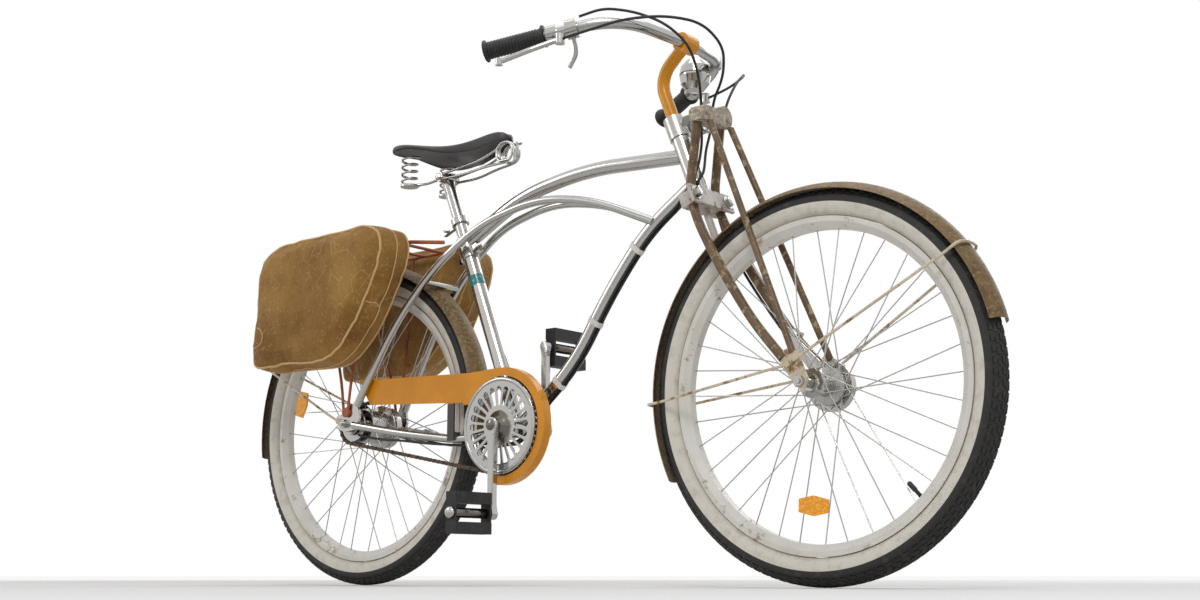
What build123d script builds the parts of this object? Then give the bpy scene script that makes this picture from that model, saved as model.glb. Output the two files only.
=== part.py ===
import os
from math import cos, radians, sin, tan

from build123d import *

# A cruiser bicycle with a springer fork, a cantilever frame and two panniers, in millimetres.
# +X is forwards, +Y is to the rider's left and +Z is up. The origin is on top of the saddle.

# Driving dimensions of the whole bicycle
wheelbase = 1124.0
seat_height = 905.0
seat_from_rear_axle = 240.0
seam = 0.1
running_gap = 0.3

# Wheels and tyres
tyre_radius = 335.0
tyre_section = 26.0
tyre_seat_half = 12.0
rim_half_width = 16.0
rim_inner_radius = 265.0
rim_gap = 0.3
spoke_count = 36
spoke_radius = 1.1
spoke_lead = 60.0

# Frame tubes
head_angle = 69.0
seat_angle = 68.3
head_radius = 17.0
head_length = 130.0
cup_radius = 20.0
cup_height = 8.0
top_tube_radius = 14.0
down_tube_radius = 14.0
arch_tube_radius = 8.0
chainstay_radius = 8.0
seat_tube_radius = 16.0
seat_tube_length = 430.0
lug_radius = 20.0
lug_length = 46.0
post_radius = 13.5
post_length = 570.0
post_insert = 60.0
shell_radius = 21.0
shell_half_width = 34.0
hub_gap = 4.0
crank_axle_radius = 8.0
dropout_inner = 65.0
dropout_thickness = 6.0

# Fork and steering
leg_radius = 8.5
strut_radius = 6.0
steerer_radius = 12.7
quill_radius = 12.0
crown_height = 26.0
crown_drop = 5.0
link_inner = 57.0
link_thickness = 6.0
axle_radius = 5.0
nut_radius = 9.5
nut_height = 8.0
arm_thickness = 4.0
clip_length = 12.0
headset_height = 36.0
spring_cap_radius = 22.0
spring_radius = 18.0
spring_wire_radius = 2.6
spring_turns = 3
spring_pitch = 14.0
cable_radius = 2.5
band_width = 10.0
stay_eye_radius = 6.0
stay_eye_half = 3.0
front_reflector_inner = 11.1
rear_reflector_inner = 11.7
reflector_thickness = 5.0
bar_radius = 11.1
bar_clamp_radius = 18.0
bar_clamp_width = 36.0
grip_radius = 16.0
grip_length = 118.0
grip_flange_radius = 21.0

# Drive
crank_ahead = 437.0
crank_height = 305.0
crank_length = 170.0
crank_offset = 69.0
crank_thickness = 14.0
crank_boss_radius = 16.0
pedal_axle_radius = 5.0
chain_line = 46.0
chain_half_width = 4.5
chain_half_height = 4.0
ring_pitch_radius = 93.0
sprocket_pitch_radius = 40.0
tooth_gap = 1.0
disc_radius = 94.0
pedal_width = 96.0
pedal_depth = 78.0

# Guards
guard_radius = 346.0
guard_half_width = 31.0
guard_crown = 15.0
guard_wall = 1.6
bridge_radius = 6.0
bridge_half_length = 48.0
guard_stay_radius = 2.5
chain_guard_face = 55.0
chain_guard_wall = 1.6
chain_guard_outer = 114.0
disc_window_gap = 3.0


def at(ahead, up, left=0.0):
    """A place given by its distance ahead of the rear axle, its height above the ground and its
    distance to the left."""
    return Vector(ahead - seat_from_rear_axle, left, up - seat_height)


# Planes that the pieces are drawn on
side_view = Plane(origin=at(0, 0), x_dir=(1, 0, 0), z_dir=(0, -1, 0))
rear_axle = at(0, tyre_radius)
front_axle = at(wheelbase, tyre_radius)
crank_middle = (crank_ahead, crank_height)
crank_centre = at(*crank_middle)
head_direction = Vector(-cos(radians(head_angle)), 0, sin(radians(head_angle)))
seat_direction = Vector(-cos(radians(seat_angle)), 0, sin(radians(seat_angle)))
head_foot = at(880.6, 702)
steering_plane = Plane(origin=head_foot, x_dir=(head_direction.Z, 0, -head_direction.X), z_dir=head_direction)
seat_plane = Plane(origin=crank_centre, x_dir=(seat_direction.Z, 0, -seat_direction.X), z_dir=seat_direction)


def across(centre):
    """The plane through a centre that faces the rider's left, with local x forwards and y down."""
    return Plane(origin=centre, x_dir=(1, 0, 0), z_dir=(0, 1, 0))


def arc_radii(points, share=0.45, held=None):
    """The radius at each inner corner that uses a share of the runs beside it, or the radius held there."""
    held = held or {}
    runs = [Vector(after) - Vector(before) for before, after in zip(points, points[1:])]
    half_turns = [0] + [radians(a.get_angle(b)) / 2 for a, b in zip(runs, runs[1:])]
    used = {index: radius * tan(half_turns[index]) for index, radius in held.items()}
    radii = []
    for index in range(1, len(points) - 1):
        room = []
        for run, neighbour in ((runs[index - 1], index - 1), (runs[index], index + 1)):
            room.append(0.9 * (run.length - used[neighbour]) if neighbour in used else share * run.length)
        radii.append(held.get(index, min(room) / tan(half_turns[index])))
    return radii


def bent_tube(points, radius, radii=None):
    """A round bar along straight runs joined by tangent arcs, as wide as the runs allow or as given."""
    with BuildPart() as bar:
        with BuildLine() as route:
            if len(points) == 2:
                Line(points[0], points[1])
            else:
                FilletPolyline(*points, radius=radii or arc_radii(points))
        with BuildSketch(Plane(origin=route.line @ 0, z_dir=route.line % 0)):
            Circle(radius)
        sweep()
    return bar.part


def coil(plane, ring_radius, wire_radius, turns, pitch):
    """A wire coil that climbs along the plane's normal, as four tangent arcs to the turn."""
    points = []
    corner_radius = ring_radius / cos(radians(45))
    for step in range(4 * turns + 1):
        angle = radians(45 + 90 * step)
        local = Vector(corner_radius * cos(angle), corner_radius * sin(angle), step * pitch / 4)
        points.append(plane.from_local_coords(local))
    return bent_tube(points, wire_radius)


def mirrored(points, side):
    """The same route on the other side of the bicycle."""
    return [Vector(point.X, side * point.Y, point.Z) for point in points]


def save(name, part):
    part.label = name
    export_step(part, f"parts/{name}.step")


os.makedirs("parts", exist_ok=True)

# Places on the fork's top
cap_centre = at(897, 850, 34)
yoke_bottom = cap_centre.Z - spring_cap_radius
yoke_back = at(893, 0).X
yoke_depth = 32.0

# Routes of the frame's tubes, from front to back
top_tube_route = [at(850, 781), at(612, 797), at(440, 772), at(296, 700)]
down_tube_route = [at(871, 726), at(760, 655), at(668, 548), at(580, 415), crank_centre]
arch_tube_route = [
    at(780, 666, 11),
    at(640, 728, 19),
    at(500, 752, 24),
    at(350, 722, 30),
    at(240, 650, 44),
    at(140, 545, 57),
    at(33.3, 371.5, 68),
]
chainstay_route = [at(437, 300, 20), at(352, 290, 33), at(300, 287, 42), at(160, 306, 58), at(24, 331, 68)]

# Head tube with its two bearing cups
with BuildPart() as head_tube:
    with BuildSketch(steering_plane):
        Circle(head_radius)
    extrude(amount=head_length)
    for height in (0, head_length - cup_height):
        with BuildSketch(steering_plane.offset(height)):
            Circle(cup_radius)
        extrude(amount=cup_height)
    with BuildSketch(steering_plane):
        Circle(steerer_radius + running_gap)
    extrude(amount=head_length, mode=Mode.SUBTRACT)
save("head_tube", head_tube.part)

# Bottom bracket shell across the frame
with BuildPart() as bottom_bracket:
    with BuildSketch(across(crank_centre).offset(-shell_half_width)):
        Circle(shell_radius)
        Circle(crank_axle_radius + running_gap, mode=Mode.SUBTRACT)
    extrude(amount=2 * shell_half_width)
save("bottom_bracket", bottom_bracket.part)

# Seat tube with the clamp lug at its top, bored for the seat post
with BuildPart() as seat_tube:
    with BuildSketch(seat_plane):
        Circle(seat_tube_radius)
    extrude(amount=seat_tube_length)
    with BuildSketch(seat_plane.offset(seat_tube_length - lug_length)):
        Circle(lug_radius)
    extrude(amount=lug_length)
    with BuildSketch(seat_plane.offset(seat_tube_length - lug_length + 3)):
        with Locations((lug_radius + 3, 0)):
            Rectangle(18, 16)
    extrude(amount=18)
    with BuildSketch(seat_plane.offset(seat_tube_length - post_insert - 5)):
        Circle(post_radius + seam)
    extrude(amount=post_insert + 5, mode=Mode.SUBTRACT)
    with BuildSketch(across(crank_centre).offset(-shell_half_width)):
        Circle(shell_radius + seam)
    extrude(amount=2 * shell_half_width, mode=Mode.SUBTRACT)
save("seat_tube", seat_tube.part)

# Seat post with the band clamp and its rear ear
with BuildPart() as seat_post:
    with BuildSketch(seat_plane.offset(seat_tube_length - post_insert)):
        Circle(post_radius)
    extrude(amount=post_length - seat_tube_length + post_insert)
    with BuildSketch(seat_plane.offset(seat_tube_length + 36)):
        Circle(post_radius + 5)
        with Locations((-(post_radius + 18), 0)):
            Rectangle(36, 10)
    extrude(amount=14)
save("seat_post", seat_post.part)

# Curved top tube between the head tube and the seat lug
with BuildPart() as top_tube:
    add(bent_tube(top_tube_route, top_tube_radius))
    with BuildSketch(steering_plane.offset(-50)):
        Circle(head_radius + seam)
    extrude(amount=head_length + 100, mode=Mode.SUBTRACT)
    with BuildSketch(seat_plane.offset(seat_tube_length - 2 * lug_length)):
        Circle(lug_radius + seam)
    extrude(amount=3 * lug_length, mode=Mode.SUBTRACT)
save("top_tube", max(top_tube.part.solids(), key=lambda solid: solid.volume))

# Curved down tube between the head tube and the bottom bracket
with BuildPart() as down_tube:
    add(bent_tube(down_tube_route, down_tube_radius))
    with BuildSketch(steering_plane.offset(-50)):
        Circle(cup_radius + seam)
    extrude(amount=50 + cup_height + seam, mode=Mode.SUBTRACT)
    with BuildSketch(steering_plane.offset(-50)):
        Circle(head_radius + seam)
    extrude(amount=head_length + 100, mode=Mode.SUBTRACT)
    with BuildSketch(seat_plane):
        Circle(seat_tube_radius + seam)
    extrude(amount=seat_tube_length, mode=Mode.SUBTRACT)
    with BuildSketch(across(crank_centre).offset(-shell_half_width)):
        Circle(shell_radius + seam)
    extrude(amount=2 * shell_half_width, mode=Mode.SUBTRACT)
save("down_tube", max(down_tube.part.solids(), key=lambda solid: solid.volume))

# Twin arch tubes from the down tube past the seat tube to the dropouts, with the mudguard's bridge
bridge_angle = radians(53.0)
bridge_reach = guard_radius + running_gap + bridge_radius
bridge_centre = rear_axle + Vector(bridge_reach * cos(bridge_angle), 0, bridge_reach * sin(bridge_angle))
with BuildPart() as arch_tubes:
    for side in (-1, 1):
        add(bent_tube(mirrored(arch_tube_route, side), arch_tube_radius))
    with BuildSketch(across(bridge_centre).offset(-bridge_half_length)):
        Circle(bridge_radius)
    extrude(amount=2 * bridge_half_length)
    add(bent_tube(down_tube_route, down_tube_radius + seam), mode=Mode.SUBTRACT)
save("arch_tubes", max(arch_tubes.part.solids(), key=lambda solid: solid.volume))

# Chainstays with the slotted dropout plates on their ends
dropout_outline = [(-27, 352), (-27, 326), (0, 318), (34, 322), (44, 345)]
dropout_outline += [(40.7, 366.3), (25.3, 375.7), (2, 360)]
stay_sides = []
for side in (-1, 1):
    with BuildPart() as stay:
        add(bent_tube(mirrored(chainstay_route, side), chainstay_radius))
        with BuildSketch(across(crank_centre).offset(-shell_half_width)):
            Circle(shell_radius + seam)
        extrude(amount=2 * shell_half_width, mode=Mode.SUBTRACT)
        plate_from = -side * (dropout_inner if side < 0 else dropout_inner + dropout_thickness)
        with BuildSketch(side_view.offset(plate_from)):
            Polygon(*dropout_outline, align=None)
        extrude(amount=dropout_thickness)
        with BuildSketch(side_view.offset(plate_from - 20)):
            with Locations((-15, tyre_radius)):
                Rectangle(30, 10.6)
            with Locations((0, tyre_radius)):
                Circle(5.3)
        extrude(amount=dropout_thickness + 40, mode=Mode.SUBTRACT)
    stay_sides.append(max(stay.part.solids(), key=lambda solid: solid.volume))
save("chainstays", Compound(children=stay_sides))

# Saddle: one closed padded form over the springs, its top drawn from above and from the side
saddle_outline_right = [(402, 0), (398, -16), (384, -23), (330, -34), (262, -66), (212, -98)]
saddle_outline_right += [(176, -106), (146, -94)]
saddle_side = [(404, 900), (392, 916), (360, 914), (290, 898), (210, 904), (160, 915), (128, 912)]
saddle_underside = [(128, 893), (200, 893), (255, 878), (330, 878), (370, 893), (404, 893)]
with BuildPart() as saddle:
    with BuildSketch(Plane(origin=at(0, 820), x_dir=(1, 0, 0), z_dir=(0, 0, 1))):
        with BuildLine():
            right = [(ahead, left) for ahead, left in saddle_outline_right]
            Polyline(*right, (134, -40), (134, 40), *[(ahead, -left) for ahead, left in reversed(right)])
        make_face()
    extrude(amount=110)
    with BuildSketch(side_view.offset(-140), mode=Mode.PRIVATE) as side_shape:
        Polygon(*saddle_side, *saddle_underside, align=None)
    extrude(side_shape.sketch, amount=280, mode=Mode.INTERSECT)
save("saddle", saddle.part)

# Saddle frame: clamp, two pairs of wire rails, the front triple coils and the two rear springs
wire_radius = 2.6
front_coil_radius = 20.0
rear_coil_radius = 15.0
clamp_radius = 11.0
clamp_centre = crank_centre + seat_direction * (post_length + clamp_radius + seam)
saddle_base = at(0, 893).Z
rear_coil_base = at(0, 829).Z
rear_coil_turns = 4
rear_coil_pitch = (saddle_base - running_gap - wire_radius - rear_coil_base) / rear_coil_turns
front_coil_centre = Vector(at(399, 0).X, 0, saddle_base - running_gap - wire_radius - front_coil_radius)
with BuildPart() as saddle_frame:
    with BuildSketch(across(clamp_centre).offset(-24)):
        Circle(clamp_radius)
    extrude(amount=48)
    for side in (-1, 1):
        rail = [at(399, 848, 10), at(350, 846, 16), at(290, 838, 22), at(222, 840, 22)]
        rail += [at(190, 832, 30), at(166, 829, 56)]
        add(bent_tube(mirrored(rail, side), wire_radius))
        upper_rail = [at(396, 889, 8), at(340, 862, 18), at(222, 850, 20)]
        add(bent_tube(mirrored(upper_rail, side), wire_radius))
        base = Plane(origin=at(166, 829, 56 * side), z_dir=(0, 0, 1))
        add(coil(base, rear_coil_radius, wire_radius, rear_coil_turns, rear_coil_pitch))
        with BuildSketch(base.offset(-4)):
            Circle(rear_coil_radius + 4)
        extrude(amount=4)
        nose_coil = Plane(origin=front_coil_centre + Vector(0, 3 * side, 0), z_dir=(0, side, 0))
        add(coil(nose_coil, front_coil_radius, wire_radius, 2, 7.0))
save("saddle_frame", saddle_frame.part)


def mudguard(name, centre, start_angle, sweep_angle):
    """A domed strip turned about an axle, from a start angle above the forward direction."""
    with BuildPart() as guard:
        rim_plane = Plane(
            origin=centre,
            x_dir=(0, 1, 0),
            z_dir=(-sin(radians(start_angle)), 0, cos(radians(start_angle))),
        )
        outward = rim_plane.y_dir.X * cos(radians(start_angle)) + rim_plane.y_dir.Z * sin(radians(start_angle))
        facing = 1 if outward > 0 else -1
        edge = guard_radius - guard_crown
        with BuildSketch(rim_plane):
            with BuildLine():
                outer = ThreePointArc(
                    (-guard_half_width, facing * edge),
                    (0, facing * guard_radius),
                    (guard_half_width, facing * edge),
                )
                inner = ThreePointArc(
                    (-guard_half_width + guard_wall, facing * edge),
                    (0, facing * (guard_radius - guard_wall)),
                    (guard_half_width - guard_wall, facing * edge),
                )
                Line(outer @ 0, inner @ 0)
                Line(outer @ 1, inner @ 1)
            make_face()
        revolve(axis=Axis(centre, (0, -1, 0)), revolution_arc=sweep_angle)
    save(name, guard.part)


mudguard("rear_mudguard", rear_axle, -5, 194)
mudguard("front_mudguard", front_axle, 13, 193)

# Rear rack: two side rails, cross bars and two pairs of legs down to the dropouts
rack_height = 705.0
rack_half_width = 60.0
rack_rod = 4.0
rack_leg_rod = 3.0
rack_cross_rod = 3.3
rack_back = -190.0
rack_front = 175.0
rack_half_rail = [at(rack_front + 72, rack_height - 6, 30), at(rack_front, rack_height, rack_half_width)]
rack_half_rail += [at(rack_back, rack_height, rack_half_width)]
with BuildPart() as rear_rack:
    rack_rail = rack_half_rail + mirrored(list(reversed(rack_half_rail)), -1)
    add(bent_tube(rack_rail, rack_rod, radii=[40, 40, 40, 40]))
    for side in (-1, 1):
        for foot, top in ((0, -100), (13, 60)):
            leg = [at(foot, 360, 75), at(foot + 0.1 * top, 420, 74), at(top, rack_height, rack_half_width)]
            add(bent_tube(mirrored(leg, side), rack_leg_rod))
        with BuildSketch(across(at(6.5, 358, 0)).offset(side * 74 - 2.9)):
            Circle(10)
        extrude(amount=5.8)
    for ahead in (-90, 0, 90, rack_front - 25):
        cross_ends = [at(ahead, rack_height, side * rack_half_width) for side in (-1, 1)]
        add(bent_tube(cross_ends, rack_cross_rod))
save("rear_rack", rear_rack.part)

# Panniers hung on the rack, cut away low in front to clear the rider's heel
bag_inner = 76.8
bag_depth = 98.0
bag_outline = [(-214, 470), (-196, 440), (20, 432), (84, 458), (150, 520), (206, 620), (222, 680), (208, 722)]
bag_outline += [(150, 745), (-110, 745), (-190, 715), (-214, 640)]
for side, name in ((-1, "right"), (1, "left")):
    with BuildPart() as pannier:
        near_face = bag_inner if side < 0 else -bag_inner - bag_depth
        with BuildSketch(side_view.offset(near_face)):
            Polygon(*bag_outline, align=None)
        extrude(amount=bag_depth)
        outer_face = pannier.faces().sort_by(Axis.Y)[0 if side < 0 else -1]
        fillet(outer_face.edges(), radius=18)
    save(f"pannier_{name}", pannier.part)

# Chain guard: a hockey stick plate, a rim flange behind it and a window for the chainwheel disc
guard_depth = 20.0
plate_outline = [(24, 426), (60, 372), (352, 356), (437, 330), (437, 419), (353, 415)]
with BuildPart() as chain_guard:
    with BuildSketch(side_view.offset(chain_guard_face - guard_depth)):
        Polygon(*plate_outline, align=None)
        with Locations(crank_middle):
            Circle(chain_guard_outer)
    extrude(amount=guard_depth)
    with BuildSketch(side_view.offset(chain_guard_face - guard_depth - 1)):
        with Locations(crank_middle):
            Circle(chain_guard_outer - chain_guard_wall)
        Polygon((0, 440), (0, 340), (352, 340), (437, 330), (437, 417.4), (352, 413.4), (26, 424.4), align=None)
    extrude(amount=guard_depth + 1 - chain_guard_wall, mode=Mode.SUBTRACT)
    with BuildSketch(side_view.offset(chain_guard_face - guard_depth - 1)):
        with Locations(crank_middle):
            Circle(disc_radius + disc_window_gap)
        Polygon(crank_middle, (420, 100), (250, 100), (250, 352), (360, 352), align=None)
    extrude(amount=guard_depth + 2, mode=Mode.SUBTRACT)
    with BuildSketch(side_view.offset(chain_guard_face - 5)):
        Polygon((290, 372), (290, 284), (308, 284), (308, 372), align=None)
    extrude(amount=5 - chain_guard_wall / 2)
    with BuildSketch(side_view.offset(chain_guard_face - 21)):
        Polygon((290, 301), (290, 284), (308, 284), (308, 301), align=None)
    extrude(amount=20)
    add(bent_tube(mirrored(chainstay_route, -1), chainstay_radius + seam), mode=Mode.SUBTRACT)
save("chain_guard", max(chain_guard.part.solids(), key=lambda solid: solid.volume))

# Chain: a band round the chainwheel and the sprocket


def chain_loop(margin):
    """The outline of the chain's path, grown by a margin, as a hull of its two circles."""
    with BuildSketch(side_view.offset(chain_line - chain_half_width)) as loop:
        with Locations(crank_middle):
            Circle(ring_pitch_radius + margin)
        with Locations((0, tyre_radius)):
            Circle(sprocket_pitch_radius + margin)
        make_hull()
    return loop.sketch


with BuildPart() as chain:
    extrude(chain_loop(chain_half_height), amount=2 * chain_half_width)
    extrude(chain_loop(-chain_half_height), amount=2 * chain_half_width, mode=Mode.SUBTRACT)
save("chain", chain.part)

# Chainwheel: chain ring, pressed disc with its radial slots outside it, and the hub on the crank axle
ring_root = ring_pitch_radius - chain_half_height - tooth_gap
disc_face = 60.0
slot_count = 24
hub_start = shell_half_width + hub_gap
with BuildPart() as chainwheel:
    with BuildSketch(side_view.offset(chain_line - 1.5)):
        with Locations(crank_middle):
            Circle(ring_root)
            Circle(ring_root - 16, mode=Mode.SUBTRACT)
    extrude(amount=disc_face - chain_line)
    with BuildSketch(side_view.offset(disc_face - 3)):
        with Locations(crank_middle):
            Circle(disc_radius)
            with PolarLocations(62, slot_count):
                SlotOverall(38, 7.5, mode=Mode.SUBTRACT)
    extrude(amount=3)
    with BuildSketch(side_view.offset(hub_start)):
        with Locations(crank_middle):
            Circle(crank_boss_radius)
    extrude(amount=crank_offset - hub_start - seam)
    with BuildSketch(side_view):
        with Locations(crank_middle):
            Circle(crank_axle_radius + seam)
    extrude(amount=crank_offset, mode=Mode.SUBTRACT)
save("chainwheel", chainwheel.part)

# Crank arms with the axle between them, the right one down and the left one up
with BuildPart() as cranks:
    with BuildSketch(across(crank_centre).offset(-crank_offset - crank_thickness)):
        Circle(crank_axle_radius)
    extrude(amount=2 * (crank_offset + crank_thickness))
    with BuildSketch(across(crank_centre).offset(hub_start)):
        Circle(crank_boss_radius)
    extrude(amount=crank_offset - hub_start)
    for side in (-1, 1):
        with BuildSketch(side_view.offset(crank_offset if side < 0 else -crank_offset - crank_thickness)):
            with Locations(crank_middle):
                Circle(crank_boss_radius)
            with Locations((crank_ahead, crank_height + side * crank_length)):
                Circle(12)
            make_hull()
            with Locations((crank_ahead, crank_height + side * crank_length)):
                Circle(pedal_axle_radius + running_gap, mode=Mode.SUBTRACT)
        extrude(amount=crank_thickness)
save("cranks", cranks.part)

# Pedals: an axle, two end plates and two rubber blocks, standing on edge as the cranks stand upright
block_height = 22.0
pedal_inner = crank_offset + crank_thickness + 6
for side, name in ((-1, "right"), (1, "left")):
    pedal_centre = crank_centre + Vector(0, 0, side * crank_length)
    outward = Plane(origin=pedal_centre, x_dir=(1, 0, 0), z_dir=(0, side, 0))
    with BuildPart() as pedal:
        with BuildSketch(outward.offset(crank_offset)):
            Circle(pedal_axle_radius)
        extrude(amount=pedal_inner + pedal_width - crank_offset)
        with BuildSketch(outward.offset(crank_offset + crank_thickness + running_gap)):
            Circle(8)
        extrude(amount=6)
        for reach in (pedal_inner, pedal_inner + pedal_width - 4):
            with BuildSketch(outward.offset(reach)):
                Rectangle(24, pedal_depth - 8)
            extrude(amount=4)
        for turn in (-1, 1):
            with BuildSketch(outward.offset(pedal_inner)):
                with Locations((0, turn * (pedal_depth - block_height) / 2)):
                    Rectangle(26, block_height)
            extrude(amount=pedal_width)
        with BuildSketch(outward.offset(pedal_inner)):
            Circle(9)
        extrude(amount=pedal_width + 6)
    save(f"pedal_{name}", pedal.part)


def ring_of(name, centre, profile):
    """A solid turned about an axle from a profile of (distance left, radius) points."""
    with BuildPart() as turned:
        with BuildSketch(Plane(origin=centre, x_dir=(0, 1, 0), z_dir=(-1, 0, 0))):
            Polygon(*profile, align=None)
        revolve(axis=Axis(centre, (0, 1, 0)))
    save(name, turned.part)


def tyre(name, centre):
    """A round tyre with a flat seat towards the rim."""
    middle = tyre_radius - tyre_section
    seat = middle - (tyre_section**2 - tyre_seat_half**2) ** 0.5
    with BuildPart() as casing:
        with BuildSketch(Plane(origin=centre, x_dir=(0, 1, 0), z_dir=(-1, 0, 0))):
            with BuildLine():
                ThreePointArc((-tyre_seat_half, seat), (0, tyre_radius), (tyre_seat_half, seat))
                Line((tyre_seat_half, seat), (-tyre_seat_half, seat))
            make_face()
        revolve(axis=Axis(centre, (0, 1, 0)))
    save(name, casing.part)


def spoked_hub(name, centre, profile, flanges):
    """A hub turned about its axle, with its crossed spokes out to the rim."""
    with BuildPart() as hub:
        with BuildSketch(Plane(origin=centre, x_dir=(0, 1, 0), z_dir=(-1, 0, 0))):
            Polygon(*profile, align=None)
        revolve(axis=Axis(centre, (0, 1, 0)))
        holes = spoke_count // 2
        reach = rim_inner_radius - rim_gap
        for row, (flange_left, hole_radius) in enumerate(flanges):
            for index in range(holes):
                sense = 1 if index % 2 else -1
                hole = radians(360 / holes * (index + row / 2))
                rim = hole + sense * radians(spoke_lead)
                left = flange_left - sense * 1.6
                start = centre + Vector(hole_radius * cos(hole), left, hole_radius * sin(hole))
                end = centre + Vector(reach * cos(rim), flange_left * 0.12, reach * sin(rim))
                with BuildSketch(Plane(origin=start, z_dir=end - start)):
                    Circle(spoke_radius)
                extrude(amount=(end - start).length)
    save(name, hub.part)


def spoke_reflector(name, centre, angle, reach, inner):
    """A six-cornered reflector that lies against the outside of the right-hand spokes."""
    middle = centre + Vector(reach * cos(radians(angle)), 0, reach * sin(radians(angle)))
    outline = Plane(origin=middle, x_dir=(cos(radians(angle)), 0, sin(radians(angle))), z_dir=(0, -1, 0))
    with BuildPart() as reflector:
        with BuildSketch(outline.offset(inner)):
            Polygon((-17, 0), (-11, 28), (11, 28), (17, 0), (11, -28), (-11, -28), align=None)
        extrude(amount=reflector_thickness)
    save(name, reflector.part)


def guard_stay(centre, angle, foot):
    """A wire from an eye on one side, over the crown of a mudguard at an angle, to the other side."""
    outward = Vector(cos(radians(angle)), 0, sin(radians(angle)))
    wire = guard_stay_radius + running_gap
    half = [foot]
    edge = centre + outward * (guard_radius - guard_crown - 14) + Vector(0, guard_half_width + wire + 4, 0)
    half.append(foot + Vector(edge.X - foot.X, 0, edge.Z - foot.Z).normalized() * 36)
    half.append(edge)
    half.append(centre + outward * (guard_radius - 4 + wire) + Vector(0, guard_half_width + 2, 0))
    half.append(centre + outward * (guard_radius + wire) + Vector(0, guard_half_width - 22, 0))
    route = mirrored(half, -1) + list(reversed(half))
    with BuildPart() as wire_loop:
        add(bent_tube(route, guard_stay_radius))
        for side in (-1, 1):
            with BuildSketch(across(Vector(foot.X, 0, foot.Z)).offset(side * foot.Y - stay_eye_half)):
                Circle(stay_eye_radius)
            extrude(amount=2 * stay_eye_half)
    return wire_loop.part


tyre_seat = tyre_radius - tyre_section - (tyre_section**2 - tyre_seat_half**2) ** 0.5
rim_top = tyre_seat - rim_gap
rim_profile = [(-rim_half_width, rim_top), (-rim_half_width, rim_top - 9), (-8, rim_inner_radius)]
rim_profile += [(8, rim_inner_radius), (rim_half_width, rim_top - 9), (rim_half_width, rim_top)]
hub_bore = axle_radius + running_gap

# Front wheel: tyre, rim, a large hub that carries the spokes, and a reflector
tyre("front_tyre", front_axle)
ring_of("front_rim", front_axle, rim_profile)
front_hub_profile = [(-34, hub_bore), (-34, 14), (-29, 16), (-28, 25), (-25, 25), (-22, 19), (18, 19), (22, 33)]
front_hub_profile += [(28, 33), (28, hub_bore)]
spoked_hub("front_hub", front_axle, front_hub_profile, [(-26.5, 22), (24, 30)])
spoke_reflector("front_reflector", front_axle, -93, 202, front_reflector_inner)

# Rear wheel: tyre, rim, a gear hub with its sprocket and spokes, and a reflector
tyre("rear_tyre", rear_axle)
ring_of("rear_rim", rear_axle, rim_profile)
sprocket_root = sprocket_pitch_radius - chain_half_height - tooth_gap
sprocket_half = 1.5
rear_hub_profile = [(-chain_line - sprocket_half, hub_bore), (-chain_line - sprocket_half, sprocket_root)]
rear_hub_profile += [(-chain_line + sprocket_half, sprocket_root), (-chain_line + sprocket_half, 22), (-34, 22)]
rear_hub_profile += [(-33, 46), (-29, 46), (-26, 34), (24, 34), (27, 46), (31, 46)]
rear_hub_profile += [(32, 30), (36, 28), (36, hub_bore)]
spoked_hub("rear_hub", rear_axle, rear_hub_profile, [(-31, 42), (29, 42)])
spoke_reflector("rear_reflector", rear_axle, 164, 221, rear_reflector_inner)

# Fork legs and struts: bars from the top yoke to the link plates that carry the front axle
leg_route = [at(904, 850, 35), at(884, 700, 38), at(908, 640, 46)]
leg_route += [at(955, 556, 51), at(1028, 446, 56), at(1090, 376, 60)]
strut_route = [at(918, 850, 30.5), at(1109, 384, 60)]
link_outline = [(1080, 381), (1098, 392), (1118, 386), (1137, 340), (1130, 322), (1114, 326)]
legs = []
struts = []
link_sides = []
for side in (-1, 1):
    plate_from = link_inner if side < 0 else -link_inner - link_thickness
    with BuildPart() as link:
        with BuildSketch(side_view.offset(plate_from)):
            Polygon(*link_outline, align=None)
            with Locations((wheelbase, tyre_radius)):
                Circle(axle_radius + seam, mode=Mode.SUBTRACT)
        extrude(amount=link_thickness)
    link_sides.append(link.part)
    with BuildPart() as link_room:
        with BuildSketch(side_view.offset(plate_from - seam)):
            Polygon(*link_outline, align=None)
        extrude(amount=link_thickness + 2 * seam)
    for route, radius, bars in ((leg_route, leg_radius, legs), (strut_route, strut_radius, struts)):
        with BuildPart() as fork_bar:
            add(bent_tube(mirrored(route, side), radius))
            add(link_room.part, mode=Mode.SUBTRACT)
            split(bisect_by=Plane.XY.offset(yoke_bottom - seam), keep=Keep.BOTTOM)
        bars.append(max(fork_bar.part.solids(), key=lambda solid: solid.volume))
save("fork_legs", Compound(children=legs))
save("fork_struts", Compound(children=struts))
save("fork_links", Compound(children=link_sides))


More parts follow.
